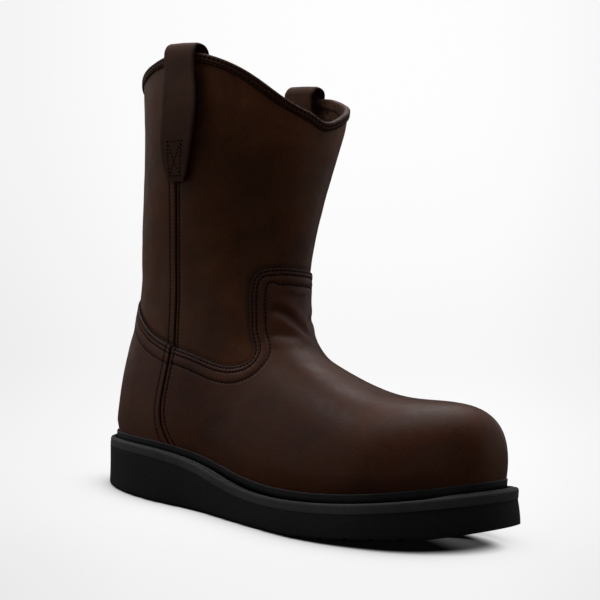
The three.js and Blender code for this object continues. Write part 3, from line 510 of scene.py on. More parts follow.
def part(name, mesh, materials, slot, *nodes, **looks):
    register(make(name, mesh, materials, **looks), slot, *nodes)


def thread_part(name, mesh, *nodes):
    part(name, mesh, [THREAD], "thread", *nodes, sharp=0)


def face_outward(ob):
    mesh = bmesh.new()
    mesh.from_mesh(ob.data)
    bmesh.ops.recalc_face_normals(mesh, faces=mesh.faces)
    mesh.to_mesh(ob.data)
    mesh.free()


def solidify(rows, faces, outer, inner):
    """Thickens a panel; slots are 0 outside, 1 inside and 2 on the cut edge."""
    count = len(rows)
    points, normals = rows[:, :3], rows[:, 3:6]
    verts = np.concatenate([points + normals * outer[:, None], points + normals * inner])
    back = [tuple(v + count for v in reversed(face)) for face in faces]
    edges = {(face[a], face[(a + 1) % len(face)]): 1 for face in faces for a in range(len(face))}
    rim = [(b, a, a + count, b + count) for a, b in edges if (b, a) not in edges]
    slots = [0] * len(faces) + [1] * len(back) + [2] * len(rim)
    return (verts, faces + back + rim), slots


def contour(column, level, reach):
    """Chains of surface rows where a distance crosses the level, longest first."""
    dist = SURFACE[:, column] - level
    values, near = dist.tolist(), (np.abs(dist) < reach).tolist()
    points, cache, links = [], {}, {}
    for face in QUADS:
        side = [values[v] for v in face]
        if min(side) > 0 or max(side) < 0 or not any(near[v] for v in face):
            continue
        hit = []
        for a in range(len(face)):
            v, w = face[a], face[(a + 1) % len(face)]
            if (values[v] > 0) != (values[w] > 0):
                key = (min(v, w), max(v, w))
                if key not in cache:
                    share = values[key[0]] / (values[key[0]] - values[key[1]])
                    cache[key] = len(points)
                    points.append(SURFACE[key[0]] * (1 - share) + SURFACE[key[1]] * share)
                hit.append(cache[key])
        if len(hit) == 2:
            links.setdefault(hit[0], []).append(hit[1])
            links.setdefault(hit[1], []).append(hit[0])
    chains, seen = [], set()
    for start in sorted(links, key=lambda k: len(links[k])):
        if start in seen:
            continue
        chain = [start]
        seen.add(start)
        while True:
            following = [k for k in links[chain[-1]] if k not in seen]
            if not following:
                break
            seen.add(following[0])
            chain.append(following[0])
        if len(chain) > 3:
            chains.append(np.array([points[k] for k in chain]))
    return sorted(chains, key=len, reverse=True)


def runs(chain, wanted, least=5):
    """Parts of a chain where wanted holds."""
    result, current = [], []
    for row, good in zip(chain, wanted):
        if good:
            current.append(row)
        elif current:
            result.append(np.array(current))
            current = []
    if current:
        result.append(np.array(current))
    return [run for run in result if len(run) >= least]


def resample(rows, step):
    length = arc_length(rows[:, :3])
    count = max(2, int(round(length[-1] / step)) + 1)
    return interp_rows(np.linspace(0, length[-1], count), length, rows)


def path_frames(points, normals):
    """Tangents, normals and the directions across a path."""
    tangents = unit(np.gradient(points, axis=0))
    normals = square_to(normals, tangents)
    return tangents, normals, np.cross(normals, tangents)


def join(parts):
    verts, faces, start = [], [], 0
    for part_verts, part_faces in parts:
        verts.append(part_verts)
        faces += [tuple(i + start for i in face) for face in part_faces]
        start += len(part_verts)
    return np.concatenate(verts), faces


def stitch_shape(length, width, height, sink):
    """One stitch: a short bar whose two ends dive into the leather."""
    along = np.array([-1, -.86, -.55, 0, .55, .86, 1])
    swell = np.sqrt(np.maximum(0, 1 - np.abs(along) ** 3.2))
    swell[0] = swell[-1] = .22
    verts = []
    for u, size in zip(along, swell):
        for angle in 2 * math.pi * np.arange(8) / 8:
            verts.append((u * length / 2, math.cos(angle) * width / 2 * size,
                          math.sin(angle) * height / 2 * size - sink * u * u))
    return np.array(verts), tube_faces(7, 8)


def stitches(points, normals, pitch, size, sink, seed, yaw=8, wrap=False, lift=0):
    """Stitches along a path; size is length, width and height, yaw in degrees."""
    rows = np.concatenate([points, normals], 1)
    if wrap:
        rows = resample(closed(rows), pitch)[:-1]
    else:
        rows = resample(rows, pitch)
    tangents, normals, across = path_frames(rows[:, :3], rows[:, 3:])
    rng = np.random.default_rng(seed)
    shape, faces = stitch_shape(*size, sink)
    parts = []
    for spot, tangent, normal, side in zip(rows[:, :3], tangents, normals, across):
        turn = math.radians(yaw + rng.normal() * 2)
        along = tangent * math.cos(turn) + side * math.sin(turn)
        over = side * math.cos(turn) - tangent * math.sin(turn)
        stretch = 1 + rng.normal() * .06
        parts.append((spot + normal * lift + shape[:, :1] * along * stretch
                      + shape[:, 1:2] * over + shape[:, 2:] * normal, faces))
    return join(parts)


def tube(points, normals, radius, sides=10):
    _, normals, across = path_frames(points, normals)
    angle = 2 * math.pi * np.arange(sides) / sides
    cos, sin = np.cos(angle)[:, None], np.sin(angle)[:, None]
    verts = np.concatenate([point + radius * (cos * side + sin * normal)
                            for point, side, normal in zip(points, across, normals)])
    return verts, tube_faces(len(points), sides)


def outward(mesh):
    """Flips the faces of a closed mesh if its volume is negative."""
    verts, faces = mesh
    volume = 0.0
    for face in faces:
        for k in range(1, len(face) - 1):
            volume += np.dot(verts[face[0]], np.cross(verts[face[k]], verts[face[k + 1]]))
    return verts, faces if volume > 0 else [tuple(reversed(face)) for face in faces]


def ring(columns):
    """Closed sweep; each column is one point of the section, carried round the loop."""
    verts = np.stack(columns, 1).reshape(-1, 3)
    return outward((verts, wall(len(columns[0]), len(columns), wrap=True)))


# ---------------------------------------------------------------- materials
class Nodes:
    """Short names for building the node tree of a material or world."""

    def __init__(self, owner):
        owner.use_nodes = True
        self.owner, self.tree = owner, owner.node_tree
        self.tree.nodes.clear()

    def fill(self, socket, value):
        if isinstance(value, bpy.types.NodeSocket):
            self.tree.links.new(value, socket)
        else:
            socket.default_value = value

    def add(self, kind, props=None, **inputs):
        """Inputs go by name, with _ for a space, or by number as i0, i1, ..."""
        node = self.tree.nodes.new("ShaderNode" + kind)
        for key, value in (props or {}).items():
            setattr(node, key, value)
        for key, value in inputs.items():
            numbered = key[0] == "i" and key[1:].isdigit()
            self.fill(node.inputs[int(key[1:]) if numbered else key.replace("_", " ")], value)
        return node

    def coord(self):
        return self.add("Mapping", Vector=self.add("TexCoord").outputs["Object"]).outputs[0]

    def noise(self, where, scale, detail=3.0, rough=.55, distort=0.0):
        return self.add("TexNoise", Vector=where, Scale=scale, Detail=detail, Roughness=rough,
                        Distortion=distort).outputs["Fac"]

    def bands(self, where, way, scale, distort):
        return self.add("TexWave", {"wave_type": "BANDS", "bands_direction": way},
                        Vector=where, Scale=scale, Distortion=distort).outputs["Fac"]

    def ramp(self, fac, *stops, mode="EASE"):
        """Stops are (position, colour or grey)."""
        node = self.add("ValToRGB", Fac=fac)
        node.color_ramp.interpolation = mode
        elements = node.color_ramp.elements
        while len(elements) < len(stops):
            elements.new(.5)
        for element, (position, color) in zip(elements, stops):
            element.position = position
            element.color = (*(color if isinstance(color, tuple) else (color,) * 3), 1)
        return node.outputs["Color"]

    def math(self, operation, a, b, clamp=False):
        return self.add("Math", {"operation": operation, "use_clamp": clamp},
                        i0=a, i1=b).outputs[0]

    def swing(self, fac, gain):
        """A factor centred on zero and scaled."""
        return self.math("MULTIPLY", self.math("SUBTRACT", fac, .5), gain)

    def mix(self, fac, a, b, mode="MIX"):
        node = self.tree.nodes.new("ShaderNodeMix")
        node.data_type, node.blend_type = "RGBA", mode
        for k, value in ((0, fac), (6, a), (7, b)):
            self.fill(node.inputs[k], (*value, 1) if isinstance(value, tuple) else value)
        return node.outputs[2]

    def mix_shader(self, fac, a, b):
        return self.add("MixShader", i0=fac, i1=a.outputs[0], i2=b.outputs[0])

    def bump(self, height, strength, distance, under=None):
        node = self.add("Bump", Height=height, Strength=strength, Distance=distance)
        if under is not None:
            self.fill(node.inputs["Normal"], under)
        return node.outputs[0]

    def attribute(self, name):
        return self.add("Attribute", {"attribute_name": name}).outputs["Fac"]

    def output(self, kind, shader):
        self.tree.links.new(shader.outputs[0], self.add("Output" + kind).inputs[0])
        return self.owner

    def surface(self, **inputs):
        return self.output("Material", self.add("BsdfPrincipled", **inputs))


def new_material(name):
    return Nodes(bpy.data.materials.new(name))


def leather(name, dark, mid, light, grain=1.0, rough=.52, toned=True, seed=0.0, spec=.36):
    n = new_material(name)
    where = n.add("VectorMath", {"operation": "ADD"}, i0=n.coord(),
                  i1=(seed, seed * .7, seed * .3)).outputs[0]
    clouds = n.noise(where, scale=22, detail=4, rough=.6, distort=.6)
    blotches = n.noise(where, scale=120, detail=4, rough=.62, distort=.3)
    pores = n.noise(where, scale=1500, detail=2, rough=.6)
    shake = n.add("TexNoise", Vector=where, Scale=420.0, Detail=2.0).outputs["Color"]
    warp = n.mix(.0016, where, shake, "ADD")
    cells = n.add("TexVoronoi", {"feature": "SMOOTH_F1"}, Vector=warp, Scale=780.0,
                  Smoothness=.35).outputs["Distance"]
    borders = n.add("TexVoronoi", {"feature": "DISTANCE_TO_EDGE"}, Vector=warp,
                    Scale=330.0).outputs["Distance"]
    wrinkle = n.ramp(borders, (0, 0), (.12, 1))
    color = n.ramp(clouds, (.28, dark), (.52, mid), (.78, light))
    color = n.mix(n.swing(blotches, gain=.9), color, (1, 1, 1), "SOFT_LIGHT")
    color = n.mix(.55, color, n.ramp(pores, (.3, .80), (.7, 1.14)), "MULTIPLY")
    color = n.mix(.5 * grain, color, n.ramp(cells, (0, 1.07), (.75, .84)), "MULTIPLY")
    if toned:
        # the tone attribute darkens or lightens the colour: random tone, with painted shade
        # along rows, seams, edges and creases and painted light on part of the shaft
        tone = n.ramp(n.attribute("tone"), (0, (.25, .23, .22)), (.5, 1), (1, (1.9, 1.8, 1.75)),
                      mode="LINEAR")
        color = n.mix(1.0, color, tone, "MULTIPLY")
    roughness = n.math("ADD", n.swing(blotches, gain=.34), rough)
    roughness = n.math("ADD", roughness, n.swing(clouds, gain=.2), clamp=True)
    soft = n.noise(where, scale=55, detail=3, rough=.5)
    normal = n.bump(soft, strength=.16, distance=.0010)
    normal = n.bump(wrinkle, strength=.07 * grain, distance=.00020, under=normal)
    normal = n.bump(cells, strength=.17 * grain, distance=.00020, under=normal)
    normal = n.bump(pores, strength=.18, distance=.00010, under=normal)
    return n.surface(Base_Color=color, Roughness=roughness, Normal=normal,
                     Specular_IOR_Level=spec)


def suede(name, dark, light):
    n = new_material(name)
    where = n.coord()
    nap = n.noise(where, scale=620, detail=4, rough=.75)
    patches = n.noise(where, scale=180, detail=4, rough=.7)
    blend = n.math("ADD", n.math("MULTIPLY", nap, .6), n.math("MULTIPLY", patches, .4))
    return n.surface(Base_Color=n.ramp(blend, (.38, dark), (.64, light)), Roughness=.93,
                     Normal=n.bump(nap, strength=.8, distance=.0005), Specular_IOR_Level=.15,
                     Sheen_Weight=.08, Sheen_Roughness=.6, Sheen_Tint=(.7, .45, .3, 1))


def cut_edge(name, dark, light):
    n = new_material(name)
    fibres = n.noise(n.coord(), scale=1400, detail=3, rough=.7)
    return n.surface(Base_Color=n.ramp(fibres, (.3, dark), (.7, light)), Roughness=.85,
                     Normal=n.bump(fibres, strength=.5, distance=.0003),
                     Specular_IOR_Level=.05)


def thread(name, dark, light, rough):
    n = new_material(name)
    where = n.coord()
    ply = n.bands(where, "DIAGONAL", scale=900.0, distort=1.5)
    worn = n.noise(where, scale=300, detail=2)
    color = n.mix(n.math("MULTIPLY", ply, .6), dark, light)
    color = n.mix(.4, color, n.ramp(worn, (.3, .6), (.7, 1.3)), "MULTIPLY")
    return n.surface(Base_Color=color, Roughness=rough,
                     Normal=n.bump(ply, strength=.5, distance=.0002), Specular_IOR_Level=.08)


def rubber(name, dark, light, rough, relief, spec, scale, streak=0.0):
    n = new_material(name)
    where = n.coord()
    clouds = n.noise(where, scale=35, detail=4, rough=.6)
    fine = n.noise(where, scale=scale, detail=4, rough=.7)
    color = n.ramp(clouds, (.3, dark), (.7, light))
    color = n.mix(.5, color, n.ramp(fine, (.25, .72), (.75, 1.25)), "MULTIPLY")
    roughness = n.math("ADD", n.swing(fine, gain=.3), rough, clamp=True)
    normal = n.bump(fine, strength=relief, distance=.00025)
    if streak:
        lines = n.bands(where, "Z", scale=420.0, distort=.6)
        normal = n.bump(lines, strength=streak, distance=.00012, under=normal)
    return n.surface(Base_Color=color, Roughness=roughness, Normal=normal,
                     Specular_IOR_Level=spec)


def weave(name, dark, light, scale):
    n = new_material(name)
    where = n.coord()
    cloth = n.math("MULTIPLY", n.bands(where, "X", scale, distort=.4),
                   n.bands(where, "Y", scale, distort=.4))
    color = n.mix(n.noise(where, scale=700, detail=3, rough=.7), dark, light)
    color = n.mix(.6, color, n.ramp(cloth, (0, .55), (.6, 1.2)), "MULTIPLY")
    return n.surface(Base_Color=color, Roughness=.92, Sheen_Weight=.3, Specular_IOR_Level=.2,
                     Normal=n.bump(cloth, strength=.6, distance=.0004))


def plain(name, dark, light, rough, scale, relief, metal=0.0):
    n = new_material(name)
    speckle = n.noise(n.coord(), scale=scale, detail=5, rough=.65)
    return n.surface(Base_Color=n.ramp(speckle, (.3, dark), (.7, light)), Roughness=rough,
                     Metallic=metal, Normal=n.bump(speckle, strength=relief, distance=.0004))


VAMP_LEATHER = leather("vamp_leather", dark=(.063, .0150, .0026), mid=(.094, .0225, .0040),
                       light=(.134, .034, .0068), rough=.50)
SHAFT_LEATHER = leather("shaft_leather", dark=(.078, .0232, .0055), mid=(.120, .0362, .0092),
                        light=(.170, .0540, .0150), rough=.55, seed=.31, spec=.29)
STRAP_LEATHER = leather("strap_leather", dark=(.074, .032, .0180), mid=(.100, .0440, .0250),
                        light=(.140, .064, .038), grain=.8, rough=.60, seed=.77, spec=.10)
BINDING = leather("binding_leather", dark=(.055, .0190, .0070), mid=(.078, .0270, .0100),
                  light=(.110, .040, .0160), grain=.9, rough=.55, seed=.53, spec=.16)
PIPING = leather("piping_leather", dark=(.010, .0036, .0014), mid=(.014, .0050, .0020),
                 light=(.020, .0075, .003), grain=.6, rough=.8, toned=False, seed=.9, spec=.06)
SUEDE = suede("leather_flesh_side", dark=(.014, .0060, .0036), light=(.150, .070, .042))
# the cut edges are near-black: the dark cut leather, darkened further as painted shade along the
# panel edges
CUT_EDGE = cut_edge("cut_leather_edge", dark=(.0045, .0018, .0009), light=(.0090, .0036, .0018))
THREAD = thread("waxed_thread", dark=(.0050, .0022, .0011), light=(.019, .0085, .0045),
                rough=.85)
RAND = rubber("welt_rubber", dark=(.020, .0198, .0200), light=(.030, .0295, .0300), rough=.50,
              relief=.12, spec=.30, scale=1400, streak=.10)
BAND = rubber("midsole_rubber", dark=(.064, .064, .066), light=(.086, .086, .089), rough=.60,
              relief=.22, spec=.22, scale=1200, streak=.12)
# near-black rubber paints the shade in the channels of the rand
CHANNEL_SHADE_RUBBER = rubber("rubber_painted_channel_shade", dark=(.0012, .0012, .0012), light=(.0022, .0022, .0022),
                rough=.85, relief=.10, spec=.05, scale=900)
OUTSOLE = rubber("outsole_rubber", dark=(.0040, .0040, .0042), light=(.0065, .0065, .0068),
                 rough=.70, relief=.55, spec=.40, scale=700)
LINING = weave("lining_textile", dark=(.10, .075, .055), light=(.17, .13, .10), scale=1100)
BED_CLOTH = weave("footbed_textile", dark=(.035, .033, .032), light=(.075, .072, .070),
                  scale=900)
FOAM = plain("footbed_foam", dark=(.03, .032, .036), light=(.055, .058, .064), rough=.9,
             scale=900, relief=.6)
STEEL = plain("pressed_steel", dark=(.42, .43, .44), light=(.56, .57, .58), rough=.36,
              scale=60, relief=.15, metal=1.0)
CORK = plain("cork", dark=(.28, .17, .09), light=(.50, .34, .20), rough=.95, scale=500,
             relief=.8)
BOARD = plain("fibre_board", dark=(.36, .27, .17), light=(.52, .41, .28), rough=.9, scale=700,
              relief=.4)
STIFFENER = plain("stiffener", dark=(.42, .40, .36), light=(.62, .60, .55), rough=.85,
                  scale=400, relief=.3)
CAP_STRIP = plain("cap_strip", dark=(.02, .02, .021), light=(.045, .045, .047), rough=.7,
                  scale=700, relief=.3)

# ---------------------------------------------------------------- relief of the leather
wave_low, wave_medium, wave_fine = Waves(62, 16, 4), Waves(24, 18, 5), Waves(9, 20, 6)
# creases at the ankle: points, depth, width, height of the swell beside it as a share of depth
CREASES = [
    ([(139.5, -25, 131.5), (142, -21, 131), (145.8, -15.7, 131), (149.2, -9.3, 128),
      (152.3, -3, 122.5), (153.5, 4, 118), (152, 11, 115)], 1.05, 2.7, .70),
    ([(144, -28, 113.5), (147.5, -24.5, 115.2), (152.6, -16.6, 116), (156, -6, 116.5),
      (157.5, 2, 114.5)], .70, 2.6, .50),
    ([(140.5, 24, 128), (146, 17, 127.5), (150, 10, 125), (153, 4, 121)], .8, 2.8, .5),
    ([(118, -37.5, 117), (126, -34.5, 112), (131, -33.5, 104)], .35, 4.0, .1),
]
CREASE_CURVES = [(curve_through(points, 60), *shape) for points, *shape in CREASES]


def ripple(points, low, medium, fine=0):
    """Uneven leather, from heights of long, middling and short waves."""
    return (low * wave_low(points) + medium * wave_medium(points) + fine * wave_fine(points))


def crease_relief(points):
    x, z = points[:, 0], points[:, 2]
    near = np.nonzero((x > 105) & (x < 185) & (z > 85) & (z < 150))[0]
    total = np.zeros(len(near))
    for curve, depth, width, swell in CREASE_CURVES:
        gap = np.linalg.norm(points[near][:, None] - curve[None], axis=-1)
        pick = gap.argmin(1)
        along = pick / (len(curve) - 1)
        taper = ease(along / .25) * ease((1 - along) / .3)
        total += taper * humps(gap[np.arange(len(pick)), pick], (0, width, -depth),
                               (6.2, 3.6, depth * swell))
    result = np.zeros(len(points))
    result[near] = total
    return result


def roll(distance, radius):
    """Rounding of a panel's edge, by the distance from it."""
    inner = np.clip(distance, 0, radius)
    return -(radius - np.sqrt(np.maximum(0, radius * radius - (radius - inner) ** 2)))


# The relief functions give the height of a panel's outer face over the surface. In them and
# in the tone functions, humps rows are (distance from the edge or seam, width, height).
def vamp_relief(rows):
    points, edge, low = rows[:, :3], rows[:, EDGE], rows[:, LOW]
    first, second, third = VAMP_ROWS
    tongue = ease((points[:, 2] - 96) / 14)
    relief = VAMP_FACE + roll(edge, 1.0) + roll(low - FRONT_GAP, .8)
    relief += ease((low - .5) / 2) * humps(edge, (first, .62, -.42), (second, .62, -.42),
                                           (third, .75, -.42))
    relief += humps(edge, (.5 * (first + second), .9, .16),
                    (.5 * (second + third), 2.2, .22 + .30 * tongue))
    relief += tongue * ease((edge - third) / 5) * humps(edge, (third + 6, 12, .55))
    relief += humps(low, (LOW_FRONT_ROW, .6, -.40), (1.9, .8, .26), (5.4, .9, .12))
    relief += crease_relief(points)
    quiet = ease((200 - points[:, 0]) / 60) * .6 + .4
    return relief + quiet * ease(edge / 6) * ripple(points, low=.16, medium=.05, fine=.016)


def counter_relief(rows):
    points, behind, below = rows[:, :3], -rows[:, LOW], rows[:, COUNTER]
    x, z = points[:, 0], points[:, 2]
    first, second, third = COUNTER_ROWS
    heel = ease((34 - x) / 26)
    relief = VAMP_FACE - heel * (.95 * (1 - ease(below / 15)) + humps(below, (17, 7.5, .95)))
    relief += roll(below, 1.0) * (1 - .4 * heel) + roll(behind - REAR_GAP, .8)
    relief += ease((behind - 1) / 2) * humps(below, (first, .6, -.34), (second, .6, -.30),
                                             (third, .7, -.30))
    relief += humps(below, (.5 * (first + second), .8, .12), (.5 * (second + third), 2.0, .18))
    relief += humps(behind, (LOW_REAR_ROW, .62, -.40))
    relief += .30 * ease((5.1 - behind) / 1.2) * ease(behind / 1.2)
    relief += ease(below / 6) * ripple(points, low=.12, medium=.04, fine=.014)
    return relief - 1.5 * ease((30 - x) / 24) * ease((9 - (z - feather_z(x))) / 9)


def shaft_front_relief(rows):
    points, edge, side = rows[:, :3], rows[:, EDGE], rows[:, SIDE]
    relief = SHAFT_FACE + roll(side - FRONT_GAP, .7)
    relief += humps(side, (SIDE_FRONT_ROW, .55, -.42), (1.4, .7, .28), (4.6, .8, .10))
    inner = ease((292 - points[:, 2]) / 30) * ease(-edge / 14) * ease((side - 2) / 14)
    relief += inner * ripple(points, low=.30, medium=.09, fine=.018)
    # a shallow channel runs just above the vamp's edge
    return relief + humps(edge, (-.6, 1.3, -.30))


def shaft_back_relief(rows):
    points, behind, below = rows[:, :3], -rows[:, SIDE], rows[:, COUNTER]
    relief = SHAFT_FACE + roll(behind - REAR_GAP, .8)
    relief += humps(behind, (SIDE_REAR_ROW, .62, -.42))
    relief += .42 * ease((6.1 - behind) / 1.1) * ease(behind / 1.2)
    inner = ease((292 - points[:, 2]) / 30) * ease(-below / 12) * ease((behind - 7) / 12)
    relief += inner * ripple(points, low=.26, medium=.10, fine=.018)
    return relief + humps(below, (-.7, 1.2, -.70))


# The tone functions give the change from the middle tone, .5: random tone, plus painted shade in
# stitch rows, seam gaps, edges and creases, and some painted light.
def vamp_tone_and_shade(rows):
    points, edge, low = rows[:, :3], rows[:, EDGE], rows[:, LOW]
    # painted shade: darker along the stitch rows, the top edge and the lower seam, with a faint
    # painted highlight on the ridge beside that seam
    tone = humps(edge, *[(row, .85, -.30) for row in VAMP_ROWS], (0, 1.0, -.34))
    tone += humps(low, (LOW_FRONT_ROW, .85, -.32), (.3, .8, -.26), (1.9, .7, .05))
    # painted shade in the creases and painted light on the swells beside them
    tone += np.clip(crease_relief(points), -1.2, .8) * .11
    tone -= .05 * ease((3.5 - (points[:, 2] - feather_z(points[:, 0]))) / 3)
    return tone + ripple(points, low=.035, medium=.02)


def counter_tone_and_shade(rows):
    behind, below = -rows[:, LOW], rows[:, COUNTER]
    first, second, third = COUNTER_ROWS
    # painted shade: darker along the stitch rows and the gap at the seam, and a painted shadow
    # line at the top edge
    tone = humps(below, (first, .8, -.20), (second, .8, -.20), (third, .8, -.12),
                 (.2, 1.1, -.42))
    tone += humps(behind, (LOW_REAR_ROW, .85, -.32), (.8, .8, -.24))
    return tone + ripple(rows[:, :3], low=.03, medium=.02)


def shaft_front_tone_shade_light(rows):
    points, edge, side = rows[:, :3], rows[:, EDGE], rows[:, SIDE]
    x, z = points[:, 0], points[:, 2]
    # painted shade along the side seam's stitch row and gap, with a faint painted highlight
    # beside it
    tone = humps(side, (SIDE_FRONT_ROW, .8, -.32), (.3, .8, -.26), (1.4, .5, .05))
    # painted shadow cast by the vamp's edge onto the shaft
    tone += humps(edge, (-.4, 1.4, -.20), (-1.6, 1.8, -.22 * ease((z - 106) / 10)))
    # painted shadow: a dark line beside the strap's front edge, where the strap stands off the
    # shaft
    ahead = x - (lookup(STRAP_X, z) + lookup(STRAP_HALF, z))
    tone += (humps(np.maximum(0, ahead - .3), (0, 2.0, -.26)) * ease((ahead + 9) / 3)
             * ease((z - 210) / 6) * ease((284 - z) / 8))
    # painted light: the upper shaft towards the toe is lightened
    tone += .46 * ease((z - 222) / 45) * ease((x - 104) / 34)
    return tone + ripple(points, low=.04, medium=.025)


def shaft_back_tone_and_shade(rows):
    # painted shade along the side seam's rear row and gap, and a painted shadow line just above
    # the counter's edge
    return (humps(-rows[:, SIDE], (SIDE_REAR_ROW, .9, -.34), (.8, .9, -.26))
            + humps(rows[:, COUNTER], (-.3, 1.3, -.42))
            + ripple(rows[:, :3], low=.04, medium=.025))


def panel(name, node, slot, leather, inside, loops, relief, tone, inner):
    """A leather panel; loops are the distances of extra edge loops from its rim."""
    rows, faces = cut_panel(inside, loops)
    mesh, slots = solidify(rows, faces, relief(rows), inner)
    shade = np.clip(.5 + tone(rows), 0, 1)
    part(name, mesh, [leather, SUEDE, CUT_EDGE], slot, node, slots=slots,
         tone=np.concatenate([shade, shade]))


panel("vamp_panel", "vamp", "leather_vamp", VAMP_LEATHER,
      inside=lambda rows: np.minimum(rows[:, EDGE], rows[:, LOW] - FRONT_GAP),
      loops=[.14, .4, .85, 1.5, 2.2, 3.2, 4.2, 5.1, 6.0, 10.0, 10.8, 11.6],
      relief=vamp_relief, tone=vamp_tone_and_shade, inner=-.2)
panel("counter_panel", "heel_counter", "leather_vamp", VAMP_LEATHER,
      inside=lambda rows: np.minimum(rows[:, COUNTER], -rows[:, LOW] - REAR_GAP),
      loops=[.14, .4, .85, 1.6, 2.4, 3.2, 4.0, 4.8, 5.5, 6.2, 7.0, 11.7, 12.4, 13.1],
      relief=counter_relief, tone=counter_tone_and_shade, inner=-.2)
# the shaft runs on under the vamp and the counter
panel("shaft_front_panel", "shaft_front", "leather_shaft", SHAFT_LEATHER,
      inside=lambda rows: np.minimum(8.5 - rows[:, EDGE], rows[:, SIDE] - FRONT_GAP),
      loops=[.14, .4, .85, 1.6, 2.3, 3.1],
      relief=shaft_front_relief, tone=shaft_front_tone_shade_light, inner=-2.4)
panel("shaft_back_panel", "shaft_back", "leather_shaft", SHAFT_LEATHER,
      inside=lambda rows: np.minimum(10 - rows[:, COUNTER], -rows[:, SIDE] - REAR_GAP),
      loops=[.14, .4, .85, 1.7, 3.0, 4.2, 4.8, 5.4, 5.9, 6.6],
      relief=shaft_back_relief, tone=shaft_back_tone_and_shade, inner=-2.4)


# ---------------------------------------------------------------- stitches and piping
def stitch_row(name, nodes, column, level, wanted, relief, seed):
    """Stitches on a panel's face, at a constant distance from an edge or seam."""
    parts = []
    for chain in contour(column, level, reach=14):
        for run in runs(chain, wanted(chain)):
            run = resample(run, .8)
            points = run[:, :3] + run[:, 3:6] * relief(run)[:, None]
            if np.linalg.norm(np.diff(points, axis=0), axis=1).sum() > 6:
                parts.append(stitches(points, run[:, 3:6], pitch=2.75, size=(2.25, .92, .85),
                                      sink=.42, lift=.10, seed=seed))
    thread_part(name, join(parts), *nodes)


def piping(name, node, column, wanted, height, radius):
    """A bead along the longest stretch of a seam."""
    run = max((run for chain in contour(column, 0.0, reach=10)
               for run in runs(chain, wanted(chain))), key=len)
    run = resample(run, 1.2)
    part(name, tube(run[:, :3] + run[:, 3:6] * height, run[:, 3:6], radius), [PIPING],
         "leather_trim", node, sharp=60)


def over_feather(rows, gap):
    return rows[:, 2] > feather_z(rows[:, 0]) + gap


for k, place in enumerate(("outer", "middle", "inner")):
    stitch_row(f"vamp_thread_{k + 1}", [f"vamp_stitch_{place}"], EDGE, VAMP_ROWS[k],
               lambda rows: rows[:, LOW] > 1.6, vamp_relief, seed=10 + k)
for k, nodes in enumerate((["counter_stitch_upper"], [], ["counter_stitch_lower"])):
    stitch_row(f"counter_thread_{k + 1}", nodes, COUNTER, COUNTER_ROWS[k],
               lambda rows: (rows[:, LOW] < -1.6) & (rows[:, 0] < 90), counter_relief,
               seed=14 + k)
for place, sign in (("lateral", -1), ("medial", 1)):
    def on_side(rows):
        return rows[:, 1] * sign > 5

    stitch_row(f"side_rear_thread_{place}", [f"side_stitch_rear_{place}"], SIDE, -SIDE_REAR_ROW,
               lambda rows: on_side(rows) & (rows[:, COUNTER] < -1.0) & (rows[:, 2] < 287),
               shaft_back_relief, seed=20 + sign)
    stitch_row(f"side_front_thread_{place}", [f"side_stitch_front_{place}"], SIDE,
               SIDE_FRONT_ROW,
               lambda rows: on_side(rows) & (rows[:, EDGE] < -1.0) & (rows[:, 2] < 287),
               shaft_front_relief, seed=24 + sign)
    stitch_row(f"low_rear_thread_{place}", [f"lower_stitch_rear_{place}"], LOW, -LOW_REAR_ROW,
               lambda rows: on_side(rows) & (rows[:, COUNTER] > .8) & over_feather(rows, 1.2),
               counter_relief, seed=28 + sign)
    stitch_row(f"low_front_thread_{place}", [f"lower_stitch_front_{place}"], LOW, LOW_FRONT_ROW,
               lambda rows: on_side(rows) & (rows[:, EDGE] > .8) & over_feather(rows, 1.2),
               vamp_relief, seed=32 + sign)
    piping(f"side_piping_{place}", f"side_seam_piping_{place}", SIDE,
           lambda rows: on_side(rows) & (rows[:, EDGE] < 2) & (rows[:, COUNTER] < 2)
           & (rows[:, 2] < 289), height=SHAFT_FACE - 1.25, radius=.86)
    piping(f"low_piping_{place}", f"lower_seam_piping_{place}", LOW,
           lambda rows: on_side(rows) & (rows[:, 2] < 102.5) & over_feather(rows, -1.5),
           height=VAMP_FACE - 1.4, radius=.9)

# ---------------------------------------------------------------- topline binding
# section of the band: (out from the surface, up from the topline)
BINDING_SECTION = [
    (-.05, -4.6), (.42, -4.75), (.70, -4.45), (.76, -4.05), (.60, -3.5), (.76, -3.05),
    (.98, -2.3), (.82, -1.7), (.62, -1.2), (.82, -.75), (.92, -.3), (.80, .35), (.40, .95),
    (-.25, 1.28), (-1.0, 1.42), (-1.9, 1.36), (-2.7, 1.0), (-3.2, .4), (-3.45, -.3),
    (-3.52, -1.2), (-3.55, -2.8), (-3.55, -5.2), (-3.4, -5.8), (-3.05, -5.8), (-2.6, -5.3),
    (-2.5, -2.0), (-2.2, .2), (-1.4, .5), (-.8, .2), (-.55, -2.0), (-.5, -5.3)]
UPPER_THREAD, LOWER_THREAD = -1.2, -3.5
BINDING_STEPS, BINDING_DENTS = 720, 148

topline = GRID[-1]
arc = arc_length(closed(topline))
at = np.linspace(0, arc[-1], BINDING_STEPS, endpoint=False)
top_ups = square_to(unit(topline - GRID[-4]), GRID_N[-1])
top_points = interp_rows(at, arc, closed(topline))
top_normals = unit(interp_rows(at, arc, closed(GRID_N[-1])))
top_ups = unit(interp_rows(at, arc, closed(top_ups)))


def binding_tone_and_shade(out, up):
    # painted shade: darker under the lower lip, along both stitch rows and a little over the top
    if up < -4.4:
        return .26
    if out < 0 and up < 0:
        return .5
    return .5 - .08 * ease((up + .6) / .9) + humps(up, (UPPER_THREAD, .45, -.24),
                                                   (LOWER_THREAD, .45, -.24))


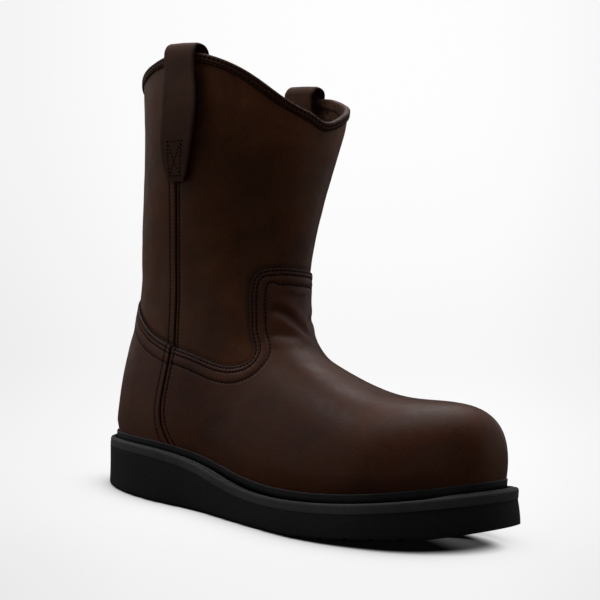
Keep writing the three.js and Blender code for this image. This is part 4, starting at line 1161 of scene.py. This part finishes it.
wobble = Waves(30, 10, 31)
columns = []
for out, up in BINDING_SECTION:
    base = top_points + top_normals * out + top_ups * up
    depth = 0 if out <= 0 else .10 if up > -3.7 else .03
    dent = depth * np.sin(2 * math.pi * at / (arc[-1] / BINDING_DENTS) + up * 1.1)
    columns.append(base + top_normals * (dent + .08 * wobble(base))[:, None]
                   + top_ups * (.10 * wobble(base * 1.7))[:, None])
# the face towards the leg shows suede
following = BINDING_SECTION[1:] + BINDING_SECTION[:1]
slots = [int(here[0] < -3.1 and there[0] < -3.1)
         for here, there in zip(BINDING_SECTION, following)]
part("topline_band", ring(columns), [BINDING, SUEDE], "leather_trim", "topline_binding",
     slots=slots * BINDING_STEPS, sharp=70,
     tone=np.tile([binding_tone_and_shade(*spot) for spot in BINDING_SECTION], BINDING_STEPS))
thread_part("topline_edge_thread", stitches(
    top_points + top_normals * .66 + top_ups * UPPER_THREAD, top_normals, pitch=3.3,
    size=(2.7, .95, .8), sink=.4, yaw=-16, wrap=True, lift=.06, seed=41))
thread_part("topline_stitch", stitches(
    top_points + top_normals * .64 + top_ups * LOWER_THREAD, top_normals, pitch=3.3,
    size=(2.5, .9, .8), sink=.4, yaw=-8, wrap=True, lift=.06, seed=43), "binding_stitch")


# ---------------------------------------------------------------- pull straps
def strap_mesh(side, count=150, around=32):
    """A flat band with rounded edges; side is 1 for lateral and -1 for medial."""
    path = curve_through(STRAP_PATH, count)
    tangent = unit(np.gradient(path, axis=0))
    length = arc_length(path)
    lean = side < 0
    verts, tone = [], []
    for (z, y), (along_z, along_y), run in zip(path, tangent, length):
        out_y, out_z = along_z, -along_y
        inner = run > length[-1] * .56
        half = lookup(STRAP_HALF, z) - (.7 if inner else 0)
        centre = lookup(STRAP_X, z) + lean * (MEDIAL_LEAN[0] * ease((z - 236) / 40)
                                              - 2.4 * ease((z - 240) / 24) * ease((299 - z) / 9))
        height = z + lean * MEDIAL_LEAN[1] * ease((z - 258) / 35)
        fall = -STRAP_SLOPE * ease((z - 262) / 30)
        wave = (.55 * math.sin(run / 21 + side) * ease((run - 18) / 30)
                * ease((length[-1] - run) / 30))
        for angle in np.linspace(0, 2 * math.pi, around, endpoint=False):
            cos, sin = math.cos(angle), math.sin(angle)
            # a squarish section: u across the strap, v through it
            u = math.copysign(abs(cos) ** .30, cos)
            v = math.copysign(abs(sin) ** .55, sin)
            out = v * STRAP_THICK
            if inner:
                out += wave * .2
            elif v > 0:
                out += STRAP_CROWN * (1 - u * u) + humps(abs(u), (.86, .06, .20)) + wave * .4
            else:
                out += -.10 * (1 - u * u) + wave * .4
            edge = max(0, (abs(u) - .93) / .07)
            nick = .16 * edge * math.sin(2 * math.pi * run / 2.8)
            verts.append((centre + u * half + math.copysign(nick, u),
                          -side * (y + out_y * out), height + fall * u * half + out_z * out))
            # the strap's sides are darkened: partly its dark cut edge, partly painted shade of
            # the gap under it; a little darker over the first 3 mm
            tone.append(.5 - .42 * edge - .05 * (run < 3))
    return outward((np.array(verts), tube_faces(count, around, flip=True))), tone


def strap_point(side, ahead, z):
    """A point on the strap's outer face and its normal."""
    path = curve_through(STRAP_PATH, 400)
    top = path[:, 0].argmax()
    k = min(max(np.searchsorted(path[:top, 0], z), 1), top - 1)
    along_z, along_y = unit(path[k] - path[k - 1])
    y = np.interp(z, path[:top, 0], path[:top, 1])
    across = ahead / lookup(STRAP_HALF, z)
    out = STRAP_THICK + STRAP_CROWN * (1 - across * across)
    return ((lookup(STRAP_X, z) + ahead, -side * (y + along_z * out), z - along_y * out),
            (0, -side * along_z, -along_y))


# box of stitches with a cross through the foot of the strap: (ahead of its centre, z)
TACK = [(-5.0, 215.2), (5.0, 215.2), (6.6, 236.5), (-6.6, 236.5)]
TACK_LINES = [(0, 1), (1, 2), (2, 3), (3, 0), (0, 2), (1, 3)]


def tack_mesh(side, steps=14):
    parts = []
    for i, (first, last) in enumerate(TACK_LINES):
        (x1, z1), (x2, z2) = TACK[first], TACK[last]
        points, normals = zip(*[strap_point(side, x1 + (x2 - x1) * k / steps,
                                            z1 + (z2 - z1) * k / steps)
                                for k in range(steps + 1)])
        parts.append(stitches(np.array(points), np.array(normals), pitch=2.5,
                              size=(2.1, .8, .7), sink=.42, lift=.05, seed=50 + i))
    return join(parts)


def register_strap(ob, node):
    """Hides the matching part and bakes the object's transform, so that its points are in
    metres.
    """
    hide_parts(node)
    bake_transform(ob)


for place, side in (("lateral", 1), ("medial", -1)):
    mesh, tone = strap_mesh(side)
    ob = make(f"strap_{place}", mesh, [STRAP_LEATHER], tone=tone, sharp=55)
    register_strap(ob, f"pull_strap_{place}")
    ob = make(f"strap_tack_{place}", tack_mesh(side), [THREAD], sharp=0)
    register_strap(ob, f"strap_tack_stitch_{place}")

# ---------------------------------------------------------------- sole, on the feather loop
LOOP_STEPS = 1120
SOLE_TOP, MIDSOLE_TOP, OUTSOLE_TOP = -4.36, -7.3, -10.2  # from the feather line


def ring_smooth(values, passes):
    for _ in range(passes):
        values = .25 * np.roll(values, 1, 0) + .5 * values + .25 * np.roll(values, -1, 0)
    return values


def loop_normals(points):
    tangents = unit(np.roll(points, -3, 0) - np.roll(points, 3, 0))
    return np.stack([-tangents[:, 1], tangents[:, 0]], 1)


feather = refine(GRID[FEATHER_ROW][:, :2].copy(), 4, axis=0, wrap=True)
arc = arc_length(closed(feather))
at = np.linspace(0, arc[-1], LOOP_STEPS, endpoint=False)
feather = ring_smooth(interp_rows(at, arc, closed(feather)), 12)
loop_out = unit(ring_smooth(loop_normals(feather), 20))
loop_x = feather[:, 0]
loop_z = feather_z(loop_x)
ledge = ring_smooth(np.maximum(np.interp(loop_x, LEDGE_X, LEDGE_OUT), 4.3), 60)
flare = ring_smooth(np.interp(loop_x, FLARE_X, FLARE_OUT), 40)
spring = ring_smooth(np.interp(loop_x, SPRING_X, SPRING_Z), 36)


def loop_at(out, z):
    """The feather loop moved outward, at the given heights."""
    out = np.broadcast_to(out, LOOP_STEPS)[:, None]
    return np.concatenate([feather + loop_out * out, z[:, None]], 1)


def loop(out, up):
    """The feather loop moved outward and up."""
    return loop_at(out, loop_z + up)


rand_foot = ring_smooth(2.0 - 1.0 * ease((42 - loop_x) / 30), 30)


def shelf(share):
    """Between the foot of the rand (0) and the ledge's rim (1)."""
    return rand_foot + share * (ledge - rand_foot)


# the bead on the ledge sinks along the waist and forepart
bead = ring_smooth(.28 + .72 * np.maximum(ease((165 - loop_x) / 45),
                                          ease((loop_x - 268) / 18)), 40)
bead_foot = -5.5
bead_top = bead_foot + 1.55 * bead
# section of the rand: (out, up) from the feather loop
RAND_SECTION = [
    (-1.3, MIDSOLE_TOP), (ledge - .5, MIDSOLE_TOP), (ledge + .16, -7.29), (ledge + .17, -6.6),
    (ledge + .14, -5.7), (ledge - .02, -5.05), (ledge - .36, -4.58), (ledge - .80, -4.34),
    (shelf(.80), SOLE_TOP), (shelf(.755), -4.6), (shelf(.725), bead_foot),
    (shelf(.685), bead_foot), (shelf(.655), (bead_top + bead_foot) / 2),
    (shelf(.60), bead_top - .28), (shelf(.52), bead_top), (shelf(.42), bead_top - .02),
    (shelf(.34), bead_top - .35), (shelf(.30), -5.6), (shelf(.27), -6.3), (shelf(.08), -6.3),
    (rand_foot - .38, -6.05), (rand_foot - .40, -4.85), (rand_foot - .05, -4.55),
    (rand_foot - .06, -2.2), (rand_foot - .02, -1.0), (rand_foot + .04, -.45),
    (rand_foot - .06, .02), (rand_foot - .34, .28), (rand_foot - .72, .24),
    (rand_foot - .9, -.1), (rand_foot - 1.0, -1.2), (rand_foot - 1.0, -4.2), (-1.3, -4.9)]
# 0 rand, 1 ledge and bead, 2 channels, in near-black rubber as painted shade
RAND_SLOTS = [0] + [1] * 8 + [2] * 3 + [1] * 5 + [2] * 5 + [0] * 11
part("storm_rand", ring([loop(*spot) for spot in RAND_SECTION]), [RAND, BAND, CHANNEL_SHADE_RUBBER],
     "rubber_welt", "storm_welt", slots=RAND_SLOTS * LOOP_STEPS, sharp=62)
# thread down in the channel beside the rand
thread_part("welt_lock_thread", stitches(
    loop(shelf(.175), -6.15), np.tile([0.0, 0.0, 1.0], (LOOP_STEPS, 1)), pitch=4.1,
    size=(3.5, .8, .8), sink=.3, yaw=6, wrap=True, seed=61), "welt_stitch")

MIDSOLE_SECTION = [(-6, -7.32), (ledge - .45, -7.32), (ledge + .16, -7.31), (ledge + .18, -8.2),
                   (ledge + .19, -9.3), (ledge + .12, -10.05), (ledge - .5, -10.25),
                   (-6, -10.25)]
part("midsole_band", ring([loop(*spot) for spot in MIDSOLE_SECTION]), [BAND], "rubber_outsole",
     "midsole", sharp=60)


def ladder(rim, start, base, cells, dish=lambda x, share: 0):
    """Spans a closed rim from point i to point n - i, with a fan at each tip.

    The rim's vertices begin at index start and the new ones at base.
    """
    count = len(rim)
    half = count // 2

    def index(i, m):
        if m == 0:
            return start + i
        return start + count - i if m == cells else base + (i - 1) * (cells - 1) + m - 1

    points = []
    for i in range(1, half):
        for m in range(1, cells):
            share = m / cells
            point = rim[i] + (rim[count - i] - rim[i]) * share
            points.append(point + np.array([0, 0, dish(point[0], share)]))
    quads = [(index(i, m), index(i, m + 1), index(i + 1, m + 1), index(i + 1, m))
             for i in range(1, half - 1) for m in range(cells)]
    fans = [[(index(i, m), index(i, m + 1), start + tip) for m in range(cells)]
            for i, tip in ((1, 0), (half - 1, half))]
    return points, quads, fans


def reverse_faces(faces):
    return [face[::-1] for face in faces]


TREAD_GROOVES = (22, 36, 50, 206, 222, 238, 254, 270)  # along x
TREAD_ROUND = 2.3  # height of the rounding at the foot of the wall


def outsole_mesh():
    """Flared side wall, rounded foot and a tread face with grooves."""
    top = loop_z + OUTSOLE_TOP
    wall_top, wall_foot = top - 1.2, spring + TREAD_ROUND
    rings = [loop_at(ledge - .9, top), loop_at(ledge - .10, top - .05),
             loop_at(ledge + .02, top - .5), loop_at(ledge + .06, wall_top)]
    for k in range(1, 13):
        share = k / 12
        rings.append(loop_at(ledge + .06 + (flare - .06) * (1 - (1 - share) ** 1.5),
                             wall_top + (wall_foot - wall_top) * share))
    for angle in np.linspace(0, math.pi / 2, 8)[1:]:
        rings.append(loop_at(ledge + flare - 2.2 * (1 - math.cos(angle)),
                             wall_foot - 2.25 * math.sin(angle)))
    count = len(rings)
    points, quads, fans = ladder(rings[-1], (count - 1) * LOOP_STEPS, count * LOOP_STEPS, 36)
    verts = np.concatenate([*rings, points])
    top_cap = tuple(range(LOOP_STEPS))
    faces = (wall(count, LOOP_STEPS, flip=True) + reverse_faces(quads) + fans[0]
             + reverse_faces(fans[1]) + [top_cap])
    x, z = verts[:, 0], verts[:, 2]
    lift = np.interp(x, SPRING_X, SPRING_Z)
    depth = np.zeros(len(x))
    for centre in TREAD_GROOVES:
        depth = np.maximum(depth, 2.0 * ease((2.2 - np.abs(x - centre)) / 1.1))
    z = np.where(z < lift + 2.6, np.maximum(z, lift + depth), z)
    verts[:, 2] = np.maximum(z, 0)
    return verts, faces


ob = make("outsole_wedge", outsole_mesh(), [OUTSOLE], sharp=45)
face_outward(ob)
ob.data.set_sharp_from_angle(angle=math.radians(45))
register(ob, "rubber_outsole", "outsole")


# ---------------------------------------------------------------- inside of the boot
def lining_mesh():
    """A thin shell inside the foot and ankle, on every second point of the grid."""
    rows = [j for j in range(FEATHER_ROW, ROWS, 2) if GRID[j, :, 2].min() < 126]
    points, normals = GRID[rows][:, ::2], GRID_N[rows][:, ::2]
    count, around = points.shape[:2]
    shell = count * around
    verts = np.concatenate([(points + normals * depth).reshape(-1, 3)
                            for depth in (-2.9, -3.85)])
    faces = []
    for pair in zip(wall(count, around, flip=True), wall(count, around, start=shell)):
        faces += pair
    last = shell - around
    for a in range(around):
        b = (a + 1) % around
        faces.append((a, shell + a, shell + b, b))
        faces.append((last + a, last + b, shell + last + b, shell + last + a))
    return outward((verts, faces))


part("foot_lining_textile", lining_mesh(), [LINING], "lining", "foot_lining", sharp=60)


def bed_dish(x, share):
    """Hollow of the footbed, deeper towards the heel."""
    edge = ease(min(share, 1 - share) / .22)
    return -1.5 * edge * float(ease((120 - x) / 60)) - .3 * edge


def slab(name, section, material, slot, node):
    """Dished plate of the footbed; section is (out, up) from bottom to top."""
    rings = [loop(*spot)[::4] for spot in section]
    around = len(rings[0])
    verts = np.concatenate(rings)
    faces = wall(len(rings), around, flip=True)
    for row in (0, len(rings) - 1):
        points, quads, fans = ladder(rings[row], row * around, len(verts), 30, bed_dish)
        verts = np.concatenate([verts, points])
        faces += (quads if row else reverse_faces(quads)) + fans[0] + fans[1]
    ob = make(name, (verts, faces), [material], sharp=50)
    face_outward(ob)
    register(ob, slot, node, body="footbed")


bed = -(6.0 + 3.5 * ease((loop_x - 255) / 40) + 1.5 * ease((40 - loop_x) / 40))
slab("footbed_foam", [(bed + .9, -1.9), (bed + .1, -1.2), (bed + .3, 1.5), (bed + .5, 3.0)],
     FOAM, "foam", "footbed")
slab("footbed_top_cloth",
     [(bed + .4, 3.2), (bed + .6, 3.6), (bed + .4, 4.15), (bed - .4, 4.35)],
     BED_CLOTH, "footbed_fabric", "footbed_cover")

for node, material in (("steel_toe_cap", STEEL), ("steel_shank", STEEL),
                       ("toe_cap_edge_strip", CAP_STRIP), ("heel_stiffener", STIFFENER),
                       ("insole_board", BOARD), ("insole_rib", BOARD), ("cork_filler", CORK)):
    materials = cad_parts[node].data.materials
    materials.clear()
    materials.append(material)

# ---------------------------------------------------------------- camera, metres
AZIMUTH, ELEVATION, ROLL = math.radians(39.58), math.radians(-.53), math.radians(4.16)
DISTANCE, LENS = .63434, 57.907
TILT_UP = .01564572  # tangent of the upward tilt from the target
TARGET = Vector(((150 - SHIFT) / 1000, 0, .130))

back = Vector((math.sin(AZIMUTH) * math.cos(ELEVATION),
               -math.cos(AZIMUTH) * math.cos(ELEVATION), math.sin(ELEVATION)))
level_right = Vector((math.cos(AZIMUTH), math.sin(AZIMUTH), 0))
level_up = back.cross(level_right)
right = level_right * math.cos(ROLL) + level_up * math.sin(ROLL)
up = -level_right * math.sin(ROLL) + level_up * math.cos(ROLL)
axis_z = -(-back + up * TILT_UP).normalized()
axis_x = (right - axis_z * right.dot(axis_z)).normalized()
axis_y = axis_z.cross(axis_x)
camera = bpy.data.objects.new("camera", bpy.data.cameras.new("camera"))
camera.data.lens, camera.data.sensor_width = LENS, 36
camera.data.clip_start, camera.data.clip_end = .02, 60
camera.matrix_world = Matrix((axis_x, axis_y, axis_z)).transposed().to_4x4()
camera.location = TARGET + back * DISTANCE
scene = bpy.context.scene
link(camera)
scene.camera = camera
scene.view_settings.view_transform = "Standard"
scene.view_settings.look = "None"


# ---------------------------------------------------------------- floor and world
def backdrop(n):
    """Painted light falloff on the paper over the view, darker towards the sides and the bottom,
    so that floor and wall run into each other.
    """
    window = n.add("SeparateXYZ", Vector=n.add("TexCoord").outputs["Window"])
    upward = n.ramp(window.outputs["Y"], (0, .900), (.067, .915), (.14, .965), (.25, .985),
                    (.34, .955), (.42, .930), (.58, .965), (.78, .992), mode="B_SPLINE")
    across = n.ramp(window.outputs["X"], (0, .905), (.10, .935), (.22, .970), (.48, 1),
                    (.80, .995), (.90, .975), (1, .935), mode="B_SPLINE")
    return n.mix(1.0, upward, across, "MULTIPLY")


def paper_material():
    """Glowing paper to the camera, dim to other rays, clear far from the boot."""
    n = new_material("pale_floor")
    position = n.add("NewGeometry").outputs["Position"]
    distance = n.add("VectorMath", {"operation": "LENGTH"}, i0=position).outputs["Value"]
    fade = n.ramp(n.math("MULTIPLY", distance, .25), (.10, 0), (.32, 1))
    path = n.add("LightPath")
    shade = n.attribute("shade")
    grey = n.add("CombineXYZ", X=shade, Y=shade, Z=shade).outputs[0]
    paper = n.add("Emission", Color=n.mix(1.0, backdrop(n), grey, "MULTIPLY"), Strength=1.0)
    dim = n.add("BsdfDiffuse", Color=(.10, .10, .10, 1))
    seen = n.mix_shader(path.outputs["Is Camera Ray"], dim, paper)
    return n.output("Material", n.mix_shader(fade, seen, n.add("BsdfTransparent")))


PAPER = paper_material()


def stage_sheet(name, verts, faces, shade):
    data = bpy.data.meshes.new(name)
    data.from_pydata(verts, [], faces)
    data.attributes.new("shade", "FLOAT", "POINT").data.foreach_set(
        "value", shade.astype(np.float32))
    data.materials.append(PAPER)
    link(bpy.data.objects.new(name, data))


def floor_disc(rings=40, around=96, radius=4.0, z=-.0002):
    """Round floor in metres, with finer rings near the middle."""
    verts = [(0, 0, z)]
    for ring_number in range(1, rings + 1):
        reach = radius * (ring_number / rings) ** 1.6
        for a in range(around):
            angle = 2 * math.pi * a / around
            verts.append((reach * math.cos(angle), reach * math.sin(angle), z))
    faces = [(0, 1 + a, 1 + (a + 1) % around) for a in range(around)]
    stage_sheet("floor", verts, faces + wall(rings, around, start=1), np.ones(len(verts)))


def nearest(spots, outline):
    """Index of the nearest outline point, and the offset from it."""
    offset = spots[:, None] - outline[None]
    pick = (offset ** 2).sum(-1).argmin(1)
    return pick, offset[np.arange(len(pick)), pick]


def shadow_sheet(cell=1.6):
    """Fine sheet with the contact shadow: dark below the sole, soft where it is lifted."""
    outline = feather + loop_out * (ledge + flare - .8)[:, None]
    still, still_out = outline[::4], loop_out[::4]
    # the shadow of the lifted toe falls away from the camera's side
    away = np.array([-back.x, -back.y]) / math.hypot(back.x, back.y)
    outline = outline + away * (2.0 * spring)[:, None]
    cast_out = loop_normals(outline)
    cast_out = (cast_out * np.sign((cast_out * loop_out).sum(1, keepdims=True)))[::2]
    cast, lift = outline[::2], spring[::2]
    xs, ys = np.arange(-62, 372, cell), np.arange(-132, 132, cell)
    x, y = np.meshgrid(xs, ys, indexing="ij")
    spots = np.stack([x.ravel(), y.ravel()], 1)
    shade = np.empty(len(spots))
    for k in range(0, len(spots), 4000):
        chunk = spots[k:k + 4000]
        pick, offset = nearest(chunk, cast)
        gap = np.sqrt((offset ** 2).sum(-1))
        gap = np.where((offset * cast_out[pick]).sum(1) > 0, gap, -gap)
        height = lift[pick]
        blur = 1.8 + .55 * height
        pick, offset = nearest(chunk, still)
        outside = (offset * still_out[pick]).sum(1)
        core = (ease((blur + .5 - gap) / (2 * blur)) * (1 - .22 * ease((height - 15) / 8))
                * ease((blur + 3 - outside) / (2 * blur + 2)))
        halo = .44 * np.exp(-np.maximum(gap, 0) / 9.0) * (1 - .6 * ease((height - 8) / 12))
        shade[k:k + 4000] = 1 - np.maximum(core, halo)
    verts = np.concatenate([spots, np.full((len(spots), 1), -.03)], 1)
    step = len(ys)
    i, j = np.meshgrid(np.arange(len(xs) - 1), np.arange(step - 1), indexing="ij")
    corner = (i * step + j).ravel()
    faces = np.stack([corner, corner + step, corner + step + 1, corner + 1], 1).tolist()
    stage_sheet("floor_contact", to_metres(verts).tolist(), faces, np.maximum(shade, .002))


floor_disc()
shadow_sheet()

scene.world = bpy.data.worlds.new("studio")
n = Nodes(scene.world)
ambient = n.add("Background", Color=(1, 1, 1, 1), Strength=.019)
paper = n.add("Background", Color=backdrop(n), Strength=1.0)
is_camera = n.add("LightPath").outputs["Is Camera Ray"]
n.output("World", n.mix_shader(is_camera, ambient, paper))

# ---------------------------------------------------------------- lights
# name, place (right, away from the camera, up) in metres, height aimed at, size, watts
LAMPS = [
    ("top_softbox", (0, 0, 1.5), .1, (1.2, 1.2), 5.0),
    ("back_top_softbox", (0, .8, 1.3), .1, (1.4, .7), 7.3),
    ("left_top_softbox", (-.8, .1, 1.2), .1, (.8, 1.0), 4.3),
    ("right_top_soft", (.8, .1, 1.2), .1, (.8, 1.0), 1.0),
    ("left_soft", (-1.3, 0, .4), .15, (.8, .8), 1.2),
    ("right_soft", (1.3, 0, .4), .12, (.8, .8), .74),
    ("left_rim", (-1, 1, .5), .15, (.8, .9), .94),
    ("right_rim", (1, 1, .5), .12, (.8, .9), .92),
    ("front_soft", (0, -1.3, .4), .12, (1.4, .8), .68),
]
level_away = Vector((-math.sin(AZIMUTH), math.cos(AZIMUTH), 0))
for name, place, aim, size, watts in LAMPS:
    light = bpy.data.lights.new(name, "AREA")
    light.shape, light.energy = "RECTANGLE", watts
    light.size, light.size_y = size
    lamp = bpy.data.objects.new(name, light)
    lamp.location = level_right * place[0] + level_away * place[1] + Vector((0, 0, place[2]))
    lamp.rotation_mode = "QUATERNION"
    lamp.rotation_quaternion = (Vector((0, 0, aim)) - lamp.location).to_track_quat("-Z", "Y")
    link(lamp)
